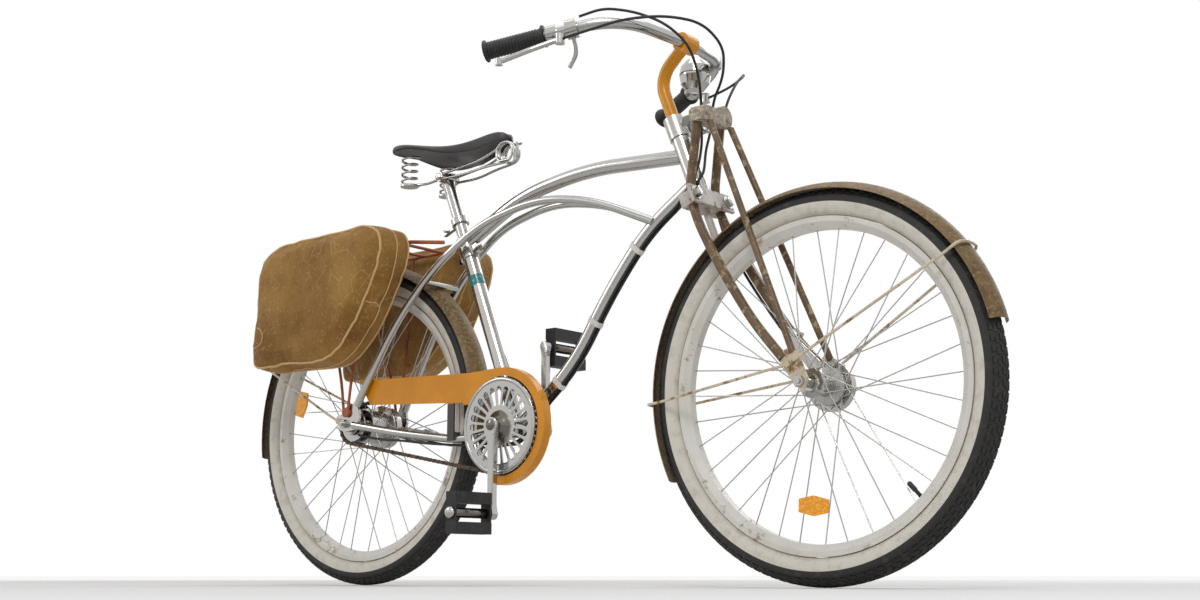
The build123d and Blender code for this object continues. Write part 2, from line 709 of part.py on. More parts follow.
def fixed_axle(centre, half_length, drum, spacers, nut_from, arm, tube):
    """The axle that stays still, with its nuts, the brake drum on its left and the drum's reaction
    arm, which is clipped round a tube."""
    drum_inner, drum_outer, drum_radius = drum
    arm_end, arm_inner, clip_route, clip_radius = arm
    tube_route, tube_radius = tube
    with BuildPart() as axle:
        with BuildSketch(across(centre).offset(-half_length)):
            Circle(axle_radius)
        extrude(amount=2 * half_length)
        for start, end, radius in spacers + [(drum_inner, drum_outer, drum_radius)]:
            with BuildSketch(across(centre).offset(start)):
                Circle(radius)
            extrude(amount=end - start)
        for side in (-1, 1):
            with BuildSketch(across(centre).offset(nut_from if side > 0 else -nut_from - nut_height)):
                RegularPolygon(nut_radius, 6)
            extrude(amount=nut_height)
        with BuildSketch(side_view.offset(-arm_inner - arm_thickness)):
            with Locations((centre.X + seat_from_rear_axle, tyre_radius)):
                Circle(16)
            with Locations(arm_end):
                Circle(8)
            make_hull()
        extrude(amount=arm_thickness)
        clip_from, clip_to = clip_route
        with BuildSketch(Plane(origin=clip_from, z_dir=clip_to - clip_from)):
            Circle(clip_radius)
        extrude(amount=clip_length)
        add(bent_tube(tube_route, tube_radius + seam), mode=Mode.SUBTRACT)
    return max(axle.part.solids(), key=lambda solid: solid.volume)


# Rear axle with its drum brake, whose arm is clipped to the left chainstay
rear_clip = (at(118, 311.5, 62), at(92, 316.5, 64))
rear_brake = fixed_axle(
    rear_axle,
    84,
    (37, 52, 44),
    [(52, dropout_inner - seam, 10), (-dropout_inner + seam, -59, 10), (-59, -51, 22)],
    dropout_inner + dropout_thickness + seam,
    ((112, 303), 52, rear_clip, 14),
    (chainstay_route, chainstay_radius),
)
save("rear_brake", rear_brake)

# Front axle with its drum brake, whose arm is clipped to the left fork leg
front_clip = (at(1036, 437, 56.5), at(1046, 425.7, 57.2))
front_brake = fixed_axle(
    front_axle,
    74,
    (29, 44, 43),
    [(44, link_inner - seam, 10), (-link_inner + seam, -35, 9)],
    link_inner + link_thickness + seam,
    ((1046, 422), 40, front_clip, 15),
    (leg_route, leg_radius),
)
save("front_brake", front_brake)

# Stays of both mudguards, each a wire bent over the guard's crown
front_eye = at(1104, 364, link_inner + link_thickness + seam + stay_eye_half)
front_stays = [guard_stay(front_axle, angle, front_eye) for angle in (36, 182)]
with BuildPart() as front_guard_stays:
    for stay in front_stays:
        add(stay)
save("front_guard_stays", front_guard_stays.part)
rear_eye = at(-17, 341, dropout_inner + dropout_thickness + seam + stay_eye_half)
save("rear_guard_stays", guard_stay(rear_axle, 155, rear_eye))

# Fork crown with the steerer tube, the wide front clamp plate and the mudguard's bolt
with BuildPart() as fork_crown:
    with BuildSketch(steering_plane.offset(-crown_drop - crown_height)):
        Rectangle(30, 104)
    extrude(amount=crown_height)
    with BuildSketch(steering_plane.offset(-crown_drop - crown_height)):
        Circle(cup_radius)
    extrude(amount=crown_height + crown_drop - running_gap)
    with BuildSketch(steering_plane.offset(-crown_drop - crown_height - 5)):
        with Locations((18, 0)):
            Rectangle(6, 126)
    extrude(amount=crown_height + 10)
    with BuildSketch(steering_plane.offset(-crown_drop - crown_height - 90)):
        Circle(7)
    extrude(amount=91)
    with BuildSketch(steering_plane.offset(-crown_drop)):
        Circle(steerer_radius)
    extrude(amount=crown_drop + head_length + headset_height)
    with BuildSketch(across(front_axle).offset(-60)):
        Circle(guard_radius + running_gap)
    extrude(amount=120, mode=Mode.SUBTRACT)
    for side in (-1, 1):
        add(bent_tube(mirrored(leg_route, side), leg_radius + seam), mode=Mode.SUBTRACT)
save("fork_crown", fork_crown.part)

# Top yoke across the leg tops: a plate with its bolt, and the round spring cap with a bolt on the left
with BuildPart() as fork_yoke:
    with BuildSketch(Plane(origin=(yoke_back, 0, yoke_bottom), x_dir=(0, 1, 0), z_dir=(1, 0, 0))):
        Polygon((-50, 0), (-50, 20), (-42, 28), (22, 28), (22, 0), align=None)
    extrude(amount=yoke_depth)
    with BuildSketch(Plane(origin=cap_centre, x_dir=(0, 1, 0), z_dir=(1, 0, 0))):
        Circle(spring_cap_radius)
    extrude(amount=18)
    for bolt_centre, radius, reach in ((cap_centre, 8, 24), (cap_centre + Vector(0, -70, -6), 6, 31)):
        with BuildSketch(Plane(origin=bolt_centre, x_dir=(0, 1, 0), z_dir=(1, 0, 0))):
            RegularPolygon(radius, 6)
        extrude(amount=reach)
save("fork_yoke", fork_yoke.part)

# Headset nuts and the bracket behind the spring
coil_back = cap_centre.X - running_gap - 2 * spring_wire_radius - spring_turns * spring_pitch
with BuildPart() as fork_bracket:
    with BuildSketch(steering_plane.offset(head_length + running_gap)):
        Circle(cup_radius)
    extrude(amount=headset_height - running_gap)
    with BuildSketch(Plane(origin=(coil_back - running_gap - 5, 0, 0), x_dir=(0, 1, 0), z_dir=(1, 0, 0))):
        with Locations((cap_centre.Y, cap_centre.Z)):
            Circle(spring_cap_radius)
        with Locations((0, cap_centre.Z - 4)):
            Circle(12)
        make_hull()
    extrude(amount=5)
    with BuildSketch(steering_plane.offset(head_length - 10)):
        Circle(steerer_radius + seam)
    extrude(amount=headset_height + 20, mode=Mode.SUBTRACT)
save("fork_bracket", fork_bracket.part)

# Coil spring between the bracket and the yoke's round cap
coil_start = Vector(coil_back + spring_wire_radius, cap_centre.Y, cap_centre.Z)
with BuildPart() as fork_spring:
    coil_foot = Plane(origin=coil_start, z_dir=(1, 0, 0))
    add(coil(coil_foot, spring_radius, spring_wire_radius, spring_turns, spring_pitch))
save("fork_spring", fork_spring.part)

# Stem: a curved gooseneck from the steerer to the bar clamp
bar_centre = at(852, 998)
stem_foot = head_foot + head_direction * (head_length + headset_height + seam)
with BuildPart() as stem:
    add(bent_tube([stem_foot, stem_foot + head_direction * 92, bar_centre], quill_radius))
    with BuildSketch(across(bar_centre).offset(-bar_clamp_width / 2)):
        Circle(bar_clamp_radius)
    extrude(amount=bar_clamp_width)
    with BuildSketch(across(bar_centre).offset(-bar_clamp_width)):
        Circle(bar_radius + seam)
    extrude(amount=2 * bar_clamp_width, mode=Mode.SUBTRACT)
save("stem", stem.part)

# Handlebar: a swept bar, straight through the clamp
bar_end = at(595, 969, 268)
bar_bend = at(820, 1010, 165)
clamp_side = at(852, 998, 40)
bar_half = [bar_end, bar_bend, clamp_side]
bar_route = mirrored(bar_half, -1) + list(reversed(bar_half))
bar_radii = [140, 130, 130, 140]
with BuildPart() as handlebar:
    add(bent_tube(bar_route, bar_radius, radii=bar_radii))
save("handlebar", handlebar.part)

# Grips and brake levers on both ends of the bar
lever_clamp_from = 118.0
pivot_boss_radius = 9.0
for side, name in ((-1, "right"), (1, "left")):
    end, bend = mirrored([bar_end, bar_bend], side)
    inwards = (bend - end).normalized()
    with BuildPart() as grip:
        with BuildSketch(Plane(origin=end - inwards * 4, z_dir=inwards)):
            Circle(grip_radius)
        extrude(amount=grip_length)
        for flange_from in (-4, grip_length - 9):
            with BuildSketch(Plane(origin=end + inwards * flange_from, z_dir=inwards)):
                Circle(grip_flange_radius)
            extrude(amount=5)
        with BuildSketch(Plane(origin=end - inwards * seam, z_dir=inwards)):
            Circle(bar_radius + seam)
        extrude(amount=grip_length, mode=Mode.SUBTRACT)
    save(f"grip_{name}", grip.part)
    pivot, elbow, tip = mirrored([at(735, 972, 224), at(700, 954, 255), at(648, 930, 291)], side)
    with BuildPart() as lever:
        with BuildSketch(Plane(origin=end + inwards * lever_clamp_from, z_dir=inwards)):
            Circle(16)
        extrude(amount=20)
        add(bent_tube([end + inwards * (lever_clamp_from + 10), pivot], 8))
        add(bent_tube([pivot, elbow, tip], 5))
        with BuildSketch(Plane(origin=pivot - Vector(0, 0, 9))):
            Circle(pivot_boss_radius)
        extrude(amount=18)
        with BuildSketch(Plane(origin=tip - Vector(0, 0, 6))):
            Circle(7)
        extrude(amount=12)
        with BuildSketch(Plane(origin=end + inwards * (lever_clamp_from - 40), z_dir=inwards)):
            Circle(bar_radius + seam)
        extrude(amount=100, mode=Mode.SUBTRACT)
    save(f"brake_lever_{name}", max(lever.part.solids(), key=lambda solid: solid.volume))

# Gear shifter on the right of the bar, with its thumb lever
shift_end, shift_bend = mirrored([bar_end, bar_bend], -1)
shift_inwards = (shift_bend - shift_end).normalized()
shift_centre = shift_end + shift_inwards * 155
with BuildPart() as gear_shifter:
    with BuildSketch(Plane(origin=shift_centre, z_dir=shift_inwards)):
        Circle(18)
    extrude(amount=22)
    thumb = [shift_centre + shift_inwards * 12 + Vector(0, 0, -12), shift_centre + Vector(10, 18, -40)]
    thumb.append(shift_centre + Vector(-12, 22, -62))
    add(bent_tube(thumb, 4))
    with BuildSketch(Plane(origin=shift_centre - shift_inwards * 20, z_dir=shift_inwards)):
        Circle(bar_radius + seam)
    extrude(amount=60, mode=Mode.SUBTRACT)
save("gear_shifter", gear_shifter.part)

# Bell behind the left half of the bar: two domes on a bracket with a clamp round the bar
bell_centre = at(780, 984, 126)
bell_share = 0.68
bar_line = FilletPolyline(*bar_route, radius=bar_radii)
bell_seat = bar_line @ bell_share
bell_along = bar_line % bell_share
bell_profile = [(0, -34), (18, -30), (28, -18), (31, -3), (28, -3)]
bell_profile += [(28, 3), (31, 3), (28, 18), (18, 30), (0, 34)]
with BuildPart() as bell:
    with BuildSketch(Plane(origin=bell_centre, x_dir=(1, 0, 0), z_dir=(0, -1, 0))):
        Polygon(*bell_profile, align=None)
    revolve(axis=Axis(bell_centre, (0, 0, 1)))
    add(bent_tube([bell_centre, bell_seat], 5))
    with BuildSketch(Plane(origin=bell_seat - bell_along * 7, z_dir=bell_along)):
        Circle(15)
    extrude(amount=14)
    add(bent_tube(bar_route, bar_radius + seam, radii=bar_radii), mode=Mode.SUBTRACT)
save("bell", max(bell.part.solids(), key=lambda solid: solid.volume))


def beside(route, radii, outward, left):
    """A route's inner corners and radii moved beside it, in front of and below a tube."""
    corners = []
    turned = []
    for before, corner, after, radius in zip(route, route[1:], route[2:], radii):
        arriving = (corner - before).normalized()
        leaving = (after - corner).normalized()
        first = Vector(-arriving.Z, 0, arriving.X)
        second = Vector(-leaving.Z, 0, leaving.X)
        corners.append(corner + (first + second) * (outward / (1 + first.dot(second))) + Vector(0, left, 0))
        turned.append(radius - outward if leaving.dot(first) > 0 else radius + outward)
    return corners, turned


def cable(name, before, after, strip):
    """A cable in three stretches, of which the middle one follows the down tube."""
    outward, left = strip
    corners, turned = beside(down_tube_route, arc_radii(down_tube_route), outward, left)
    points = before + corners + after
    held = {len(before) + index: radius for index, radius in enumerate(turned)}
    radii = arc_radii(points, held=held)
    print(name, [round(radius) for radius in radii])
    save(name, bent_tube(points, cable_radius, radii=radii))


# Brake and gear cables from the bar down behind the yoke, along the down tube and the chainstays
brake_strip = (16.6, -3.5)
gear_strip = (14.1, -9.5)
from_lever = [at(744.6, 972, -224), at(800, 977, -216), at(861, 986, -200), at(925, 988, -165), at(966, 982, -108)]
from_lever += [at(968, 955, -45), at(927, 925, 14), at(870, 895, 58), at(862, 840, 61), at(868, 797, 36)]
from_lever += [at(881, 762, 14), at(894, 738, -9), at(884, 712, -25), at(858, 694, -18), at(833, 682, -3.5)]
to_drum = [at(515, 344, -3.5), at(480, 300, -4), at(437, 272, -2), at(385, 276, 22), at(330, 273.5, 38)]
to_drum += [at(230, 282, 50), at(160, 292, 58), at(118.4, 300.2, 61.8)]
cable("rear_brake_cable", from_lever, to_drum, brake_strip)
from_shifter = [at(756, 1018, -196), at(797, 1030, -176), at(845, 1020, -148), at(892, 996, -118), at(917, 960, -80)]
from_shifter += [at(908, 915, -38), at(884, 872, 2), at(880, 838, 5), at(883, 805, 4), at(886, 768, -8)]
from_shifter += [at(888, 742, -21), at(878, 719, -26), at(856, 700, -22), at(833.6, 685.3, -9.5)]
to_hub = [at(513.6, 346.1, -9.5), at(480, 301, -10), at(437, 272, -12), at(385, 276, -26), at(330, 273.5, -38)]
to_hub += [at(230, 282, -50), at(160, 292, -57), at(90, 298, -56), at(26.1, 311, -54.5)]
cable("gear_cable", from_shifter, to_hub, gear_strip)

# Front brake cable from the left lever down behind the left leg to the drum's clip
front_cable_route = [at(744.6, 972, 224), at(792, 984, 228), at(835, 992, 212), at(866, 980, 170), at(880, 945, 120)]
front_cable_route += [at(884, 895, 82), at(880, 835, 66), at(872, 770, 60), at(872, 705, 58), at(884, 655, 57)]
front_cable_route += [at(910, 606, 51), at(945, 549, 50), at(986, 487, 52), at(1026.6, 429.5, 56.4)]
front_cable_radii = arc_radii(front_cable_route)
print("front_brake_cable", [round(radius) for radius in front_cable_radii])
save("front_brake_cable", bent_tube(front_cable_route, cable_radius, radii=front_cable_radii))

# Bands that hold the two cables on the down tube
down_tube_line = FilletPolyline(*down_tube_route, radius=arc_radii(down_tube_route))
bands = []
for share in (0.28, 0.55, 0.78):
    with BuildPart() as band:
        seat = Plane(origin=down_tube_line @ share, x_dir=(0, 1, 0), z_dir=down_tube_line % share)
        with BuildSketch(seat.offset(-band_width / 2)):
            Circle(down_tube_radius + 1.6)
            for outward, left in (brake_strip, gear_strip):
                with Locations((left, outward)):
                    Circle(cable_radius + 1.6)
            make_hull()
            Circle(down_tube_radius + seam, mode=Mode.SUBTRACT)
            for outward, left in (brake_strip, gear_strip):
                with Locations((left, outward)):
                    Circle(cable_radius + seam, mode=Mode.SUBTRACT)
        extrude(amount=band_width)
    bands.append(max(band.part.solids(), key=lambda solid: solid.volume))
save("cable_bands", Compound(children=bands))
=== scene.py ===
import math

import bmesh
import bpy
from mathutils import Matrix, Vector, noise
from mathutils.bvhtree import BVHTree


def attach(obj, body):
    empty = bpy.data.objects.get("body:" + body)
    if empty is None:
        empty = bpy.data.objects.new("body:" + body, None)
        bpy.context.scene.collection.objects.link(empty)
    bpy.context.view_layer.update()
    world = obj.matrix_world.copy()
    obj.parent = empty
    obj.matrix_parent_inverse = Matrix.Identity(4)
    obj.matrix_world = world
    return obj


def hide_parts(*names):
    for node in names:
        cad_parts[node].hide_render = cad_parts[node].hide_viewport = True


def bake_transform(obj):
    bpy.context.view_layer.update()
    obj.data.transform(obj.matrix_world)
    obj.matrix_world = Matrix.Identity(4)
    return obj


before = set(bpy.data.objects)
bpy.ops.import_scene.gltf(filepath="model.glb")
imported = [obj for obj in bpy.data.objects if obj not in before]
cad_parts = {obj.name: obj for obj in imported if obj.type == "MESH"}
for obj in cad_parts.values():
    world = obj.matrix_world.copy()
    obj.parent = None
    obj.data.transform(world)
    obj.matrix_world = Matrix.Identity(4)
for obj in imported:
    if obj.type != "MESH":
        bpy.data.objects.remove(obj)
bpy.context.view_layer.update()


# Frame: the curved tubes, head tube, seat tube and stays are polished steel, dulled in clouds,
# scratched by use and freckled with rust. A narrow teal band is painted round the seat tube.
origin_ahead, origin_up = 240, 905


def at(ahead, up, left=0.0):
    """A place in metres from its millimetres ahead of the rear axle, above the ground and to the left."""
    return Vector(((ahead - origin_ahead) / 1000, left / 1000, (up - origin_up) / 1000))


def feed(tree, socket, value):
    """Links an input to the socket that drives it, or gives it a plain value."""
    if isinstance(value, Field):
        value = value.socket
    if isinstance(value, bpy.types.NodeSocket):
        tree.links.new(value, socket)
    else:
        socket.default_value = value


def add_node(tree, kind, inputs=(), **settings):
    """A new node of a tree, with its settings by name and its inputs by name or number."""
    made = tree.nodes.new(kind)
    for name, value in settings.items():
        setattr(made, name, value)
    for name, value in dict(inputs).items():
        feed(tree, made.inputs[name], value)
    return made


class Field:
    """One socket of a finish, which adds and multiplies like a number."""

    def __init__(self, finish, socket):
        self.finish = finish
        self.socket = socket

    def math(self, operation, other=0.0, third=0.0):
        made = self.finish.node("ShaderNodeMath", {0: self, 1: other, 2: third}, operation=operation)
        return Field(self.finish, made.outputs[0])

    def __add__(self, other):
        return self.math("ADD", other)

    def __sub__(self, other):
        return self.math("SUBTRACT", other)

    def __rsub__(self, other):
        return self.math("MULTIPLY_ADD", -1.0, other)

    def __mul__(self, other):
        return self.math("MULTIPLY", other)

    def step(self, low, high):
        """0 at low, 1 at high and smooth between; a low above high turns it round."""
        ends = {"Value": self, "From Min": low, "From Max": high}
        made = self.finish.node("ShaderNodeMapRange", ends, interpolation_type="SMOOTHSTEP")
        return Field(self.finish, made.outputs[0])

    __radd__ = __add__
    __rmul__ = __mul__


class Finish:
    """A material with one Principled surface, whose patterns lie in the frame's own metres."""

    def __init__(self, name, **sockets):
        self.material = bpy.data.materials.new(name)
        self.material.use_nodes = True
        self.tree = self.material.node_tree
        self.tree.nodes.clear()
        self.surface = self.node("ShaderNodeBsdfPrincipled")
        self.node("ShaderNodeOutputMaterial", {"Surface": self.surface.outputs[0]})
        self.place = self.node("ShaderNodeTexCoord").outputs["Object"]
        self.set(**sockets)

    def node(self, kind, inputs=(), **settings):
        return add_node(self.tree, kind, inputs, **settings)

    def set(self, **sockets):
        for name, value in sockets.items():
            feed(self.tree, self.surface.inputs[name.replace("_", " ")], value)

    def stretched(self, x, y, z):
        return self.node("ShaderNodeMapping", {"Vector": self.place, "Scale": (x, y, z)}).outputs[0]

    def noise(self, scale, detail=3.0, rough=0.55):
        inputs = {"Vector": self.place, "Scale": scale, "Detail": detail, "Roughness": rough}
        return Field(self, self.node("ShaderNodeTexNoise", inputs).outputs["Fac"])

    def cells(self, scale, feature="F1", vector=None):
        inputs = {"Vector": vector or self.place, "Scale": scale}
        return Field(self, self.node("ShaderNodeTexVoronoi", inputs, feature=feature).outputs["Distance"])

    def along(self, direction, start):
        """The distance in metres along a direction from a place."""
        shifted = self.node("ShaderNodeVectorMath", {0: self.place, 1: start}, operation="SUBTRACT")
        inputs = {0: shifted.outputs[0], 1: direction}
        made = self.node("ShaderNodeVectorMath", inputs, operation="DOT_PRODUCT")
        return Field(self, made.outputs["Value"])

    def from_axle(self, axle):
        """The distance in metres from a line across the bicycle."""
        ahead = self.along((1, 0, 0), axle)
        above = self.along((0, 0, 1), axle)
        return (ahead * ahead + above * above).math("SQRT")

    def mix(self, share, first, second):
        """Blends two colours, each a field or (red, green, blue), by a share from 0 to 1."""
        made = self.node("ShaderNodeMix", data_type="RGBA")
        for index, value in ((0, share), (6, first), (7, second)):
            feed(self.tree, made.inputs[index], (*value, 1.0) if isinstance(value, tuple) else value)
        return Field(self, made.outputs[2])

    def bump(self, height, distance):
        made = self.node("ShaderNodeBump", {"Height": height, "Distance": distance})
        feed(self.tree, self.surface.inputs["Normal"], made.outputs[0])


rust_colour = (0.16, 0.075, 0.03)


def plated(name, colour, dull, freckles):
    """Bright metal with dull clouds, fine scratches and freckles of rust."""
    finish = Finish(name)
    cloud = finish.noise(9.0, 4.0)
    fine = finish.noise(260.0, 3.0, 0.6)
    spot = finish.noise(420.0, 4.0, 0.7).step(0.64 - freckles, 0.72 - freckles) * cloud.step(0.42, 0.62)
    finish.set(
        Metallic=1.0 - 0.75 * spot,
        Roughness=dull * cloud.step(0.35, 0.75) + 0.08 * fine + 0.4 * spot + 0.07,
    )
    finish.bump(spot + 0.12 * fine, 0.00025)
    finish.set(Base_Color=finish.mix(spot, colour, rust_colour))
    return finish, spot


def dress(material, *nodes):
    """Gives CAD nodes a material."""
    for node in nodes:
        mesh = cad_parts[node].data
        mesh.materials.clear()
        mesh.materials.append(material)


steel_colour, steel_dullness = (0.50, 0.485, 0.46), 0.15
polished_steel = plated("polished_steel", steel_colour, steel_dullness, 0.0)[0].material
dress(polished_steel, "head_tube", "bottom_bracket", "top_tube", "down_tube", "arch_tubes", "chainstays")

crank_centre = at(437, 305)
seat_lean = math.radians(68.3)
seat_direction = Vector((-math.cos(seat_lean), 0, math.sin(seat_lean)))
band_from, band_to, band_edge = 0.318, 0.342, 0.0006
teal = (0.03, 0.24, 0.25)
banded_steel, band_rust = plated("banded_steel", steel_colour, steel_dullness, 0.0)
height = banded_steel.along(seat_direction, crank_centre)
band = height.step(band_from, band_from + band_edge) * height.step(band_to, band_to - band_edge)
worn_band = band * banded_steel.noise(120.0, 4.0, 0.6).step(0.66, 0.56)
bare = banded_steel.mix(band_rust, steel_colour, rust_colour)
banded_steel.set(
    Base_Color=banded_steel.mix(worn_band, bare, teal),
    Metallic=(1.0 - 0.75 * band_rust) * (1.0 - worn_band),
)
dress(banded_steel.material, "seat_tube")


# Small fittings in chrome that age has dulled: seat post, saddle wires, bar, levers, shifter, bell,
# hubs, drums, spring and its bracket. Hexagon bolts hold the clamps of the seat.
chrome = plated("chrome", (0.46, 0.45, 0.43), 0.24, 0.01)[0].material
dress(chrome, "seat_post", "saddle_frame", "handlebar", "brake_lever_right", "brake_lever_left", "bell")
dress(chrome, "gear_shifter", "front_hub", "rear_hub", "front_brake", "rear_brake")
dress(chrome, "fork_bracket", "fork_spring")


def meshed(name, vertices, faces):
    """A new mesh from lists of vertices and faces."""
    mesh = bpy.data.meshes.new(name)
    mesh.from_pydata([tuple(v) for v in vertices], [], faces)
    return mesh


def cleaned(mesh, merge=1e-6):
    """Merges corners that lie within a distance, and turns every face of a mesh outwards."""
    made = bmesh.new()
    made.from_mesh(mesh)
    bmesh.ops.remove_doubles(made, verts=made.verts, dist=merge)
    bmesh.ops.recalc_face_normals(made, faces=made.faces)
    made.to_mesh(mesh)
    made.free()


def added(name, data):
    """A new object in the scene for a mesh, curve, lamp or camera."""
    item = bpy.data.objects.new(name, data)
    bpy.context.collection.objects.link(item)
    return item


def piece(name, vertices, faces, material, body, smooth=True):
    """A mesh piece in its place, riding on a body."""
    mesh = meshed(name, vertices, faces)
    mesh.materials.append(material)
    cleaned(mesh)
    for face in mesh.polygons:
        face.use_smooth = smooth
    item = added(name, mesh)
    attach(item, body)
    return item


def skinned(rings, count):
    """The faces between rings of as many corners each, and one face over both ends."""
    faces = []
    for ring in range(rings - 1):
        low, high = ring * count, (ring + 1) * count
        for step in range(count):
            after = (step + 1) % count
            faces.append((low + step, low + after, high + after, high + step))
    last = (rings - 1) * count
    return faces + [tuple(range(count)), tuple(range(last, last + count))]


def turned_form(centre, axis, profile, count):
    """The rings of a form turned about an axis: profile holds (distance along it, radius)."""
    axis = Vector(axis).normalized()
    first = axis.orthogonal().normalized()
    second = axis.cross(first)
    vertices = []
    for reach, radius in profile:
        for step in range(count):
            angle = step * math.tau / count
            side = first * math.cos(angle) + second * math.sin(angle)
            vertices.append(Vector(centre) + axis * reach + side * radius)
    return vertices, skinned(len(profile), count)


def add_form(vertices, faces, form):
    """Adds a form's own vertices and faces to lists that hold others."""
    start = len(vertices)
    vertices += form[0]
    faces += [tuple(start + index for index in face) for face in form[1]]


# Shares of a bolt head's radius, and of its height for the chamfer
washer_radius, washer_height, washer_corners = 1.35, 0.18, 20
chamfer_from, chamfer_radius, dome_height, dome_radius = 0.85, 0.82, 1.06, 0.3


def bolts(name, rows, material, body):
    """Hexagon heads with a washer, a chamfer and a domed end, from (place, axis, radius, height)."""
    vertices, faces = [], []
    for place, axis, radius, tall in rows:
        washer = [(0, radius * washer_radius), (radius * washer_height, radius * washer_radius)]
        head = [(0, radius), (tall * chamfer_from, radius)]
        head += [(tall, radius * chamfer_radius), (tall * dome_height, radius * dome_radius)]
        add_form(vertices, faces, turned_form(place, axis, washer, washer_corners))
        add_form(vertices, faces, turned_form(place, axis, head, 6))
    return piece(name, vertices, faces, material, body, smooth=False)


# (up the seat tube from the crank, ahead, left, above, side that it faces, radius, height)
seat_bolt_rows = [
    (0.3960, -0.0295, 0.0078, -0.012, 1, 0.0055, 0.005),
    (0.4730, -0.0340, -0.0052, -0.013, -1, 0.0060, 0.006),
    (0.5811, 0.0, -0.0240, 0.0, -1, 0.0075, 0.007),
    (0.5811, 0.0, 0.0240, 0.0, 1, 0.0075, 0.007),
]
seat_bolts = [
    (crank_centre + seat_direction * up + Vector((ahead, left, above)), (0, facing, 0), radius, tall)
    for up, ahead, left, above, facing, radius, tall in seat_bolt_rows
]
bolts("seat_bolts", seat_bolts, chrome, "frame")


# Tyres: black rubber casings with small tread blocks and white sidewalls, scuffed and yellowed
# towards the rim. The casing is turned, and one pitch of tread blocks is repeated round it.
front_axle = at(1124, 335)
rear_axle = at(0, 335)
section_centre = 0.309
section_radius = 0.026
casing_half_angle, casing_step, casing_turns = 150, 6, 180
tread_depth = 0.0017
tread_half_angle = 62.0
tread_pitches = 116
block_sink = 0.0004
block_taper, taper_round = 0.9, 0.05
# (across from, across to) in degrees, (round from, round to) in shares of a pitch
tread_blocks = [
    (-9.5, -1.2, 0.06, 0.78),
    (1.2, 9.5, 0.42, 1.12),
    (12.5, 24.0, 0.02, 0.66),
    (-24.0, -12.5, 0.34, 0.98),
    (27.5, 42.0, 0.36, 0.92),
    (-42.0, -27.5, 0.08, 0.64),
    (45.5, 59.0, 0.10, 0.74),
    (-59.0, -45.5, 0.30, 0.94),
]


def frozen(item):
    """An item's shape as its modifiers leave it, as a new plain mesh."""
    depsgraph = bpy.context.evaluated_depsgraph_get()
    return bpy.data.meshes.new_from_object(item.evaluated_get(depsgraph), depsgraph=depsgraph)


def new_tree(name, given, counted, result):
    """A node tree with its inputs and output named, the input for the count, and the inputs' node."""
    tree = bpy.data.node_groups.new(name, "GeometryNodeTree")
    tree.interface.new_socket(given, in_out="INPUT", socket_type="NodeSocketGeometry")
    count_input = tree.interface.new_socket(counted, in_out="INPUT", socket_type="NodeSocketInt")
    tree.interface.new_socket(result, in_out="OUTPUT", socket_type="NodeSocketGeometry")
    return tree, count_input, add_node(tree, "NodeGroupInput")


def run_tree(name, tree, copies, count_input, count, data, material):
    """Makes a tree's copies real and painted, runs it on the data and keeps one plain mesh."""
    real = add_node(tree, "GeometryNodeRealizeInstances", {0: copies.outputs[0]})
    painted = add_node(tree, "GeometryNodeSetMaterial", {"Geometry": real.outputs[0], "Material": material})
    add_node(tree, "NodeGroupOutput", {0: painted.outputs[0]})
    carrier = added(name + "_carrier", data)
    modifier = carrier.modifiers.new("copies", "NODES")
    modifier.node_group = tree
    modifier[count_input.identifier] = count
    mesh = frozen(carrier)
    mesh.name = name
    bpy.data.objects.remove(carrier)
    return added(name, mesh)


def repeated_about(name, stamp, axle, count, material):
    """Copies of a small mesh turned about an axle by a node tree, as one plain mesh."""
    tree, count_input, given = new_tree(name, "Stamp", "Count", "Ring")
    points = add_node(tree, "GeometryNodePoints", {"Count": given.outputs["Count"], "Position": axle})
    index = add_node(tree, "GeometryNodeInputIndex")
    divided = {0: index.outputs[0], 1: given.outputs["Count"]}
    share = add_node(tree, "ShaderNodeMath", divided, operation="DIVIDE")
    angle = add_node(tree, "ShaderNodeMath", {0: share.outputs[0], 1: math.tau}, operation="MULTIPLY")
    turn = add_node(tree, "ShaderNodeCombineXYZ", {"Y": angle.outputs[0]})
    place = {"Points": points.outputs[0], "Instance": given.outputs["Stamp"], "Rotation": turn.outputs[0]}
    copies = add_node(tree, "GeometryNodeInstanceOnPoints", place)
    return run_tree(name, tree, copies, count_input, count, stamp, material)


def tread_stamp():
    """One pitch of tread: a split middle block, two side blocks and two long shoulder blocks."""
    pitch = math.tau / tread_pitches
    vertices, faces = [], []
    for low, high, start, stop in tread_blocks:
        first = len(vertices)
        for depth, inset in ((tread_depth + block_sink, 0.0), (0.0, block_taper)):
            left, right = low + inset, high - inset
            for across, share in ((left, start), (right, start), (right, stop), (left, stop)):
                slope = math.radians(across)
                reach = section_centre + (section_radius - depth) * math.cos(slope)
                shift = taper_round * inset if share == start else -taper_round * inset
                turn = (share + shift) * pitch
                side = (section_radius - depth) * math.sin(slope)
                vertices.append((reach * math.cos(turn), side, reach * math.sin(turn)))
        for face in ((4, 5, 6, 7), (0, 1, 5, 4), (1, 2, 6, 5), (2, 3, 7, 6), (3, 0, 4, 7)):
            faces.append(tuple(first + corner for corner in face))
    return meshed("tread_stamp", vertices, faces)


def ring_piece(name, axle, profile, count, material, body):
    """A closed profile of (distance left, radius) turned about an axle into a ring."""
    vertices, faces = [], []
    width = len(profile)
    for step in range(count):
        angle = step * math.tau / count
        for side, radius in profile:
            vertices.append(axle + Vector((radius * math.cos(angle), side, radius * math.sin(angle))))
    for step in range(count):
        here, there = step * width, (step + 1) % count * width
        for index in range(width):
            after = (index + 1) % width
            faces.append((here + index, here + after, there + after, there + index))
    return piece(name, vertices, faces, material, body)


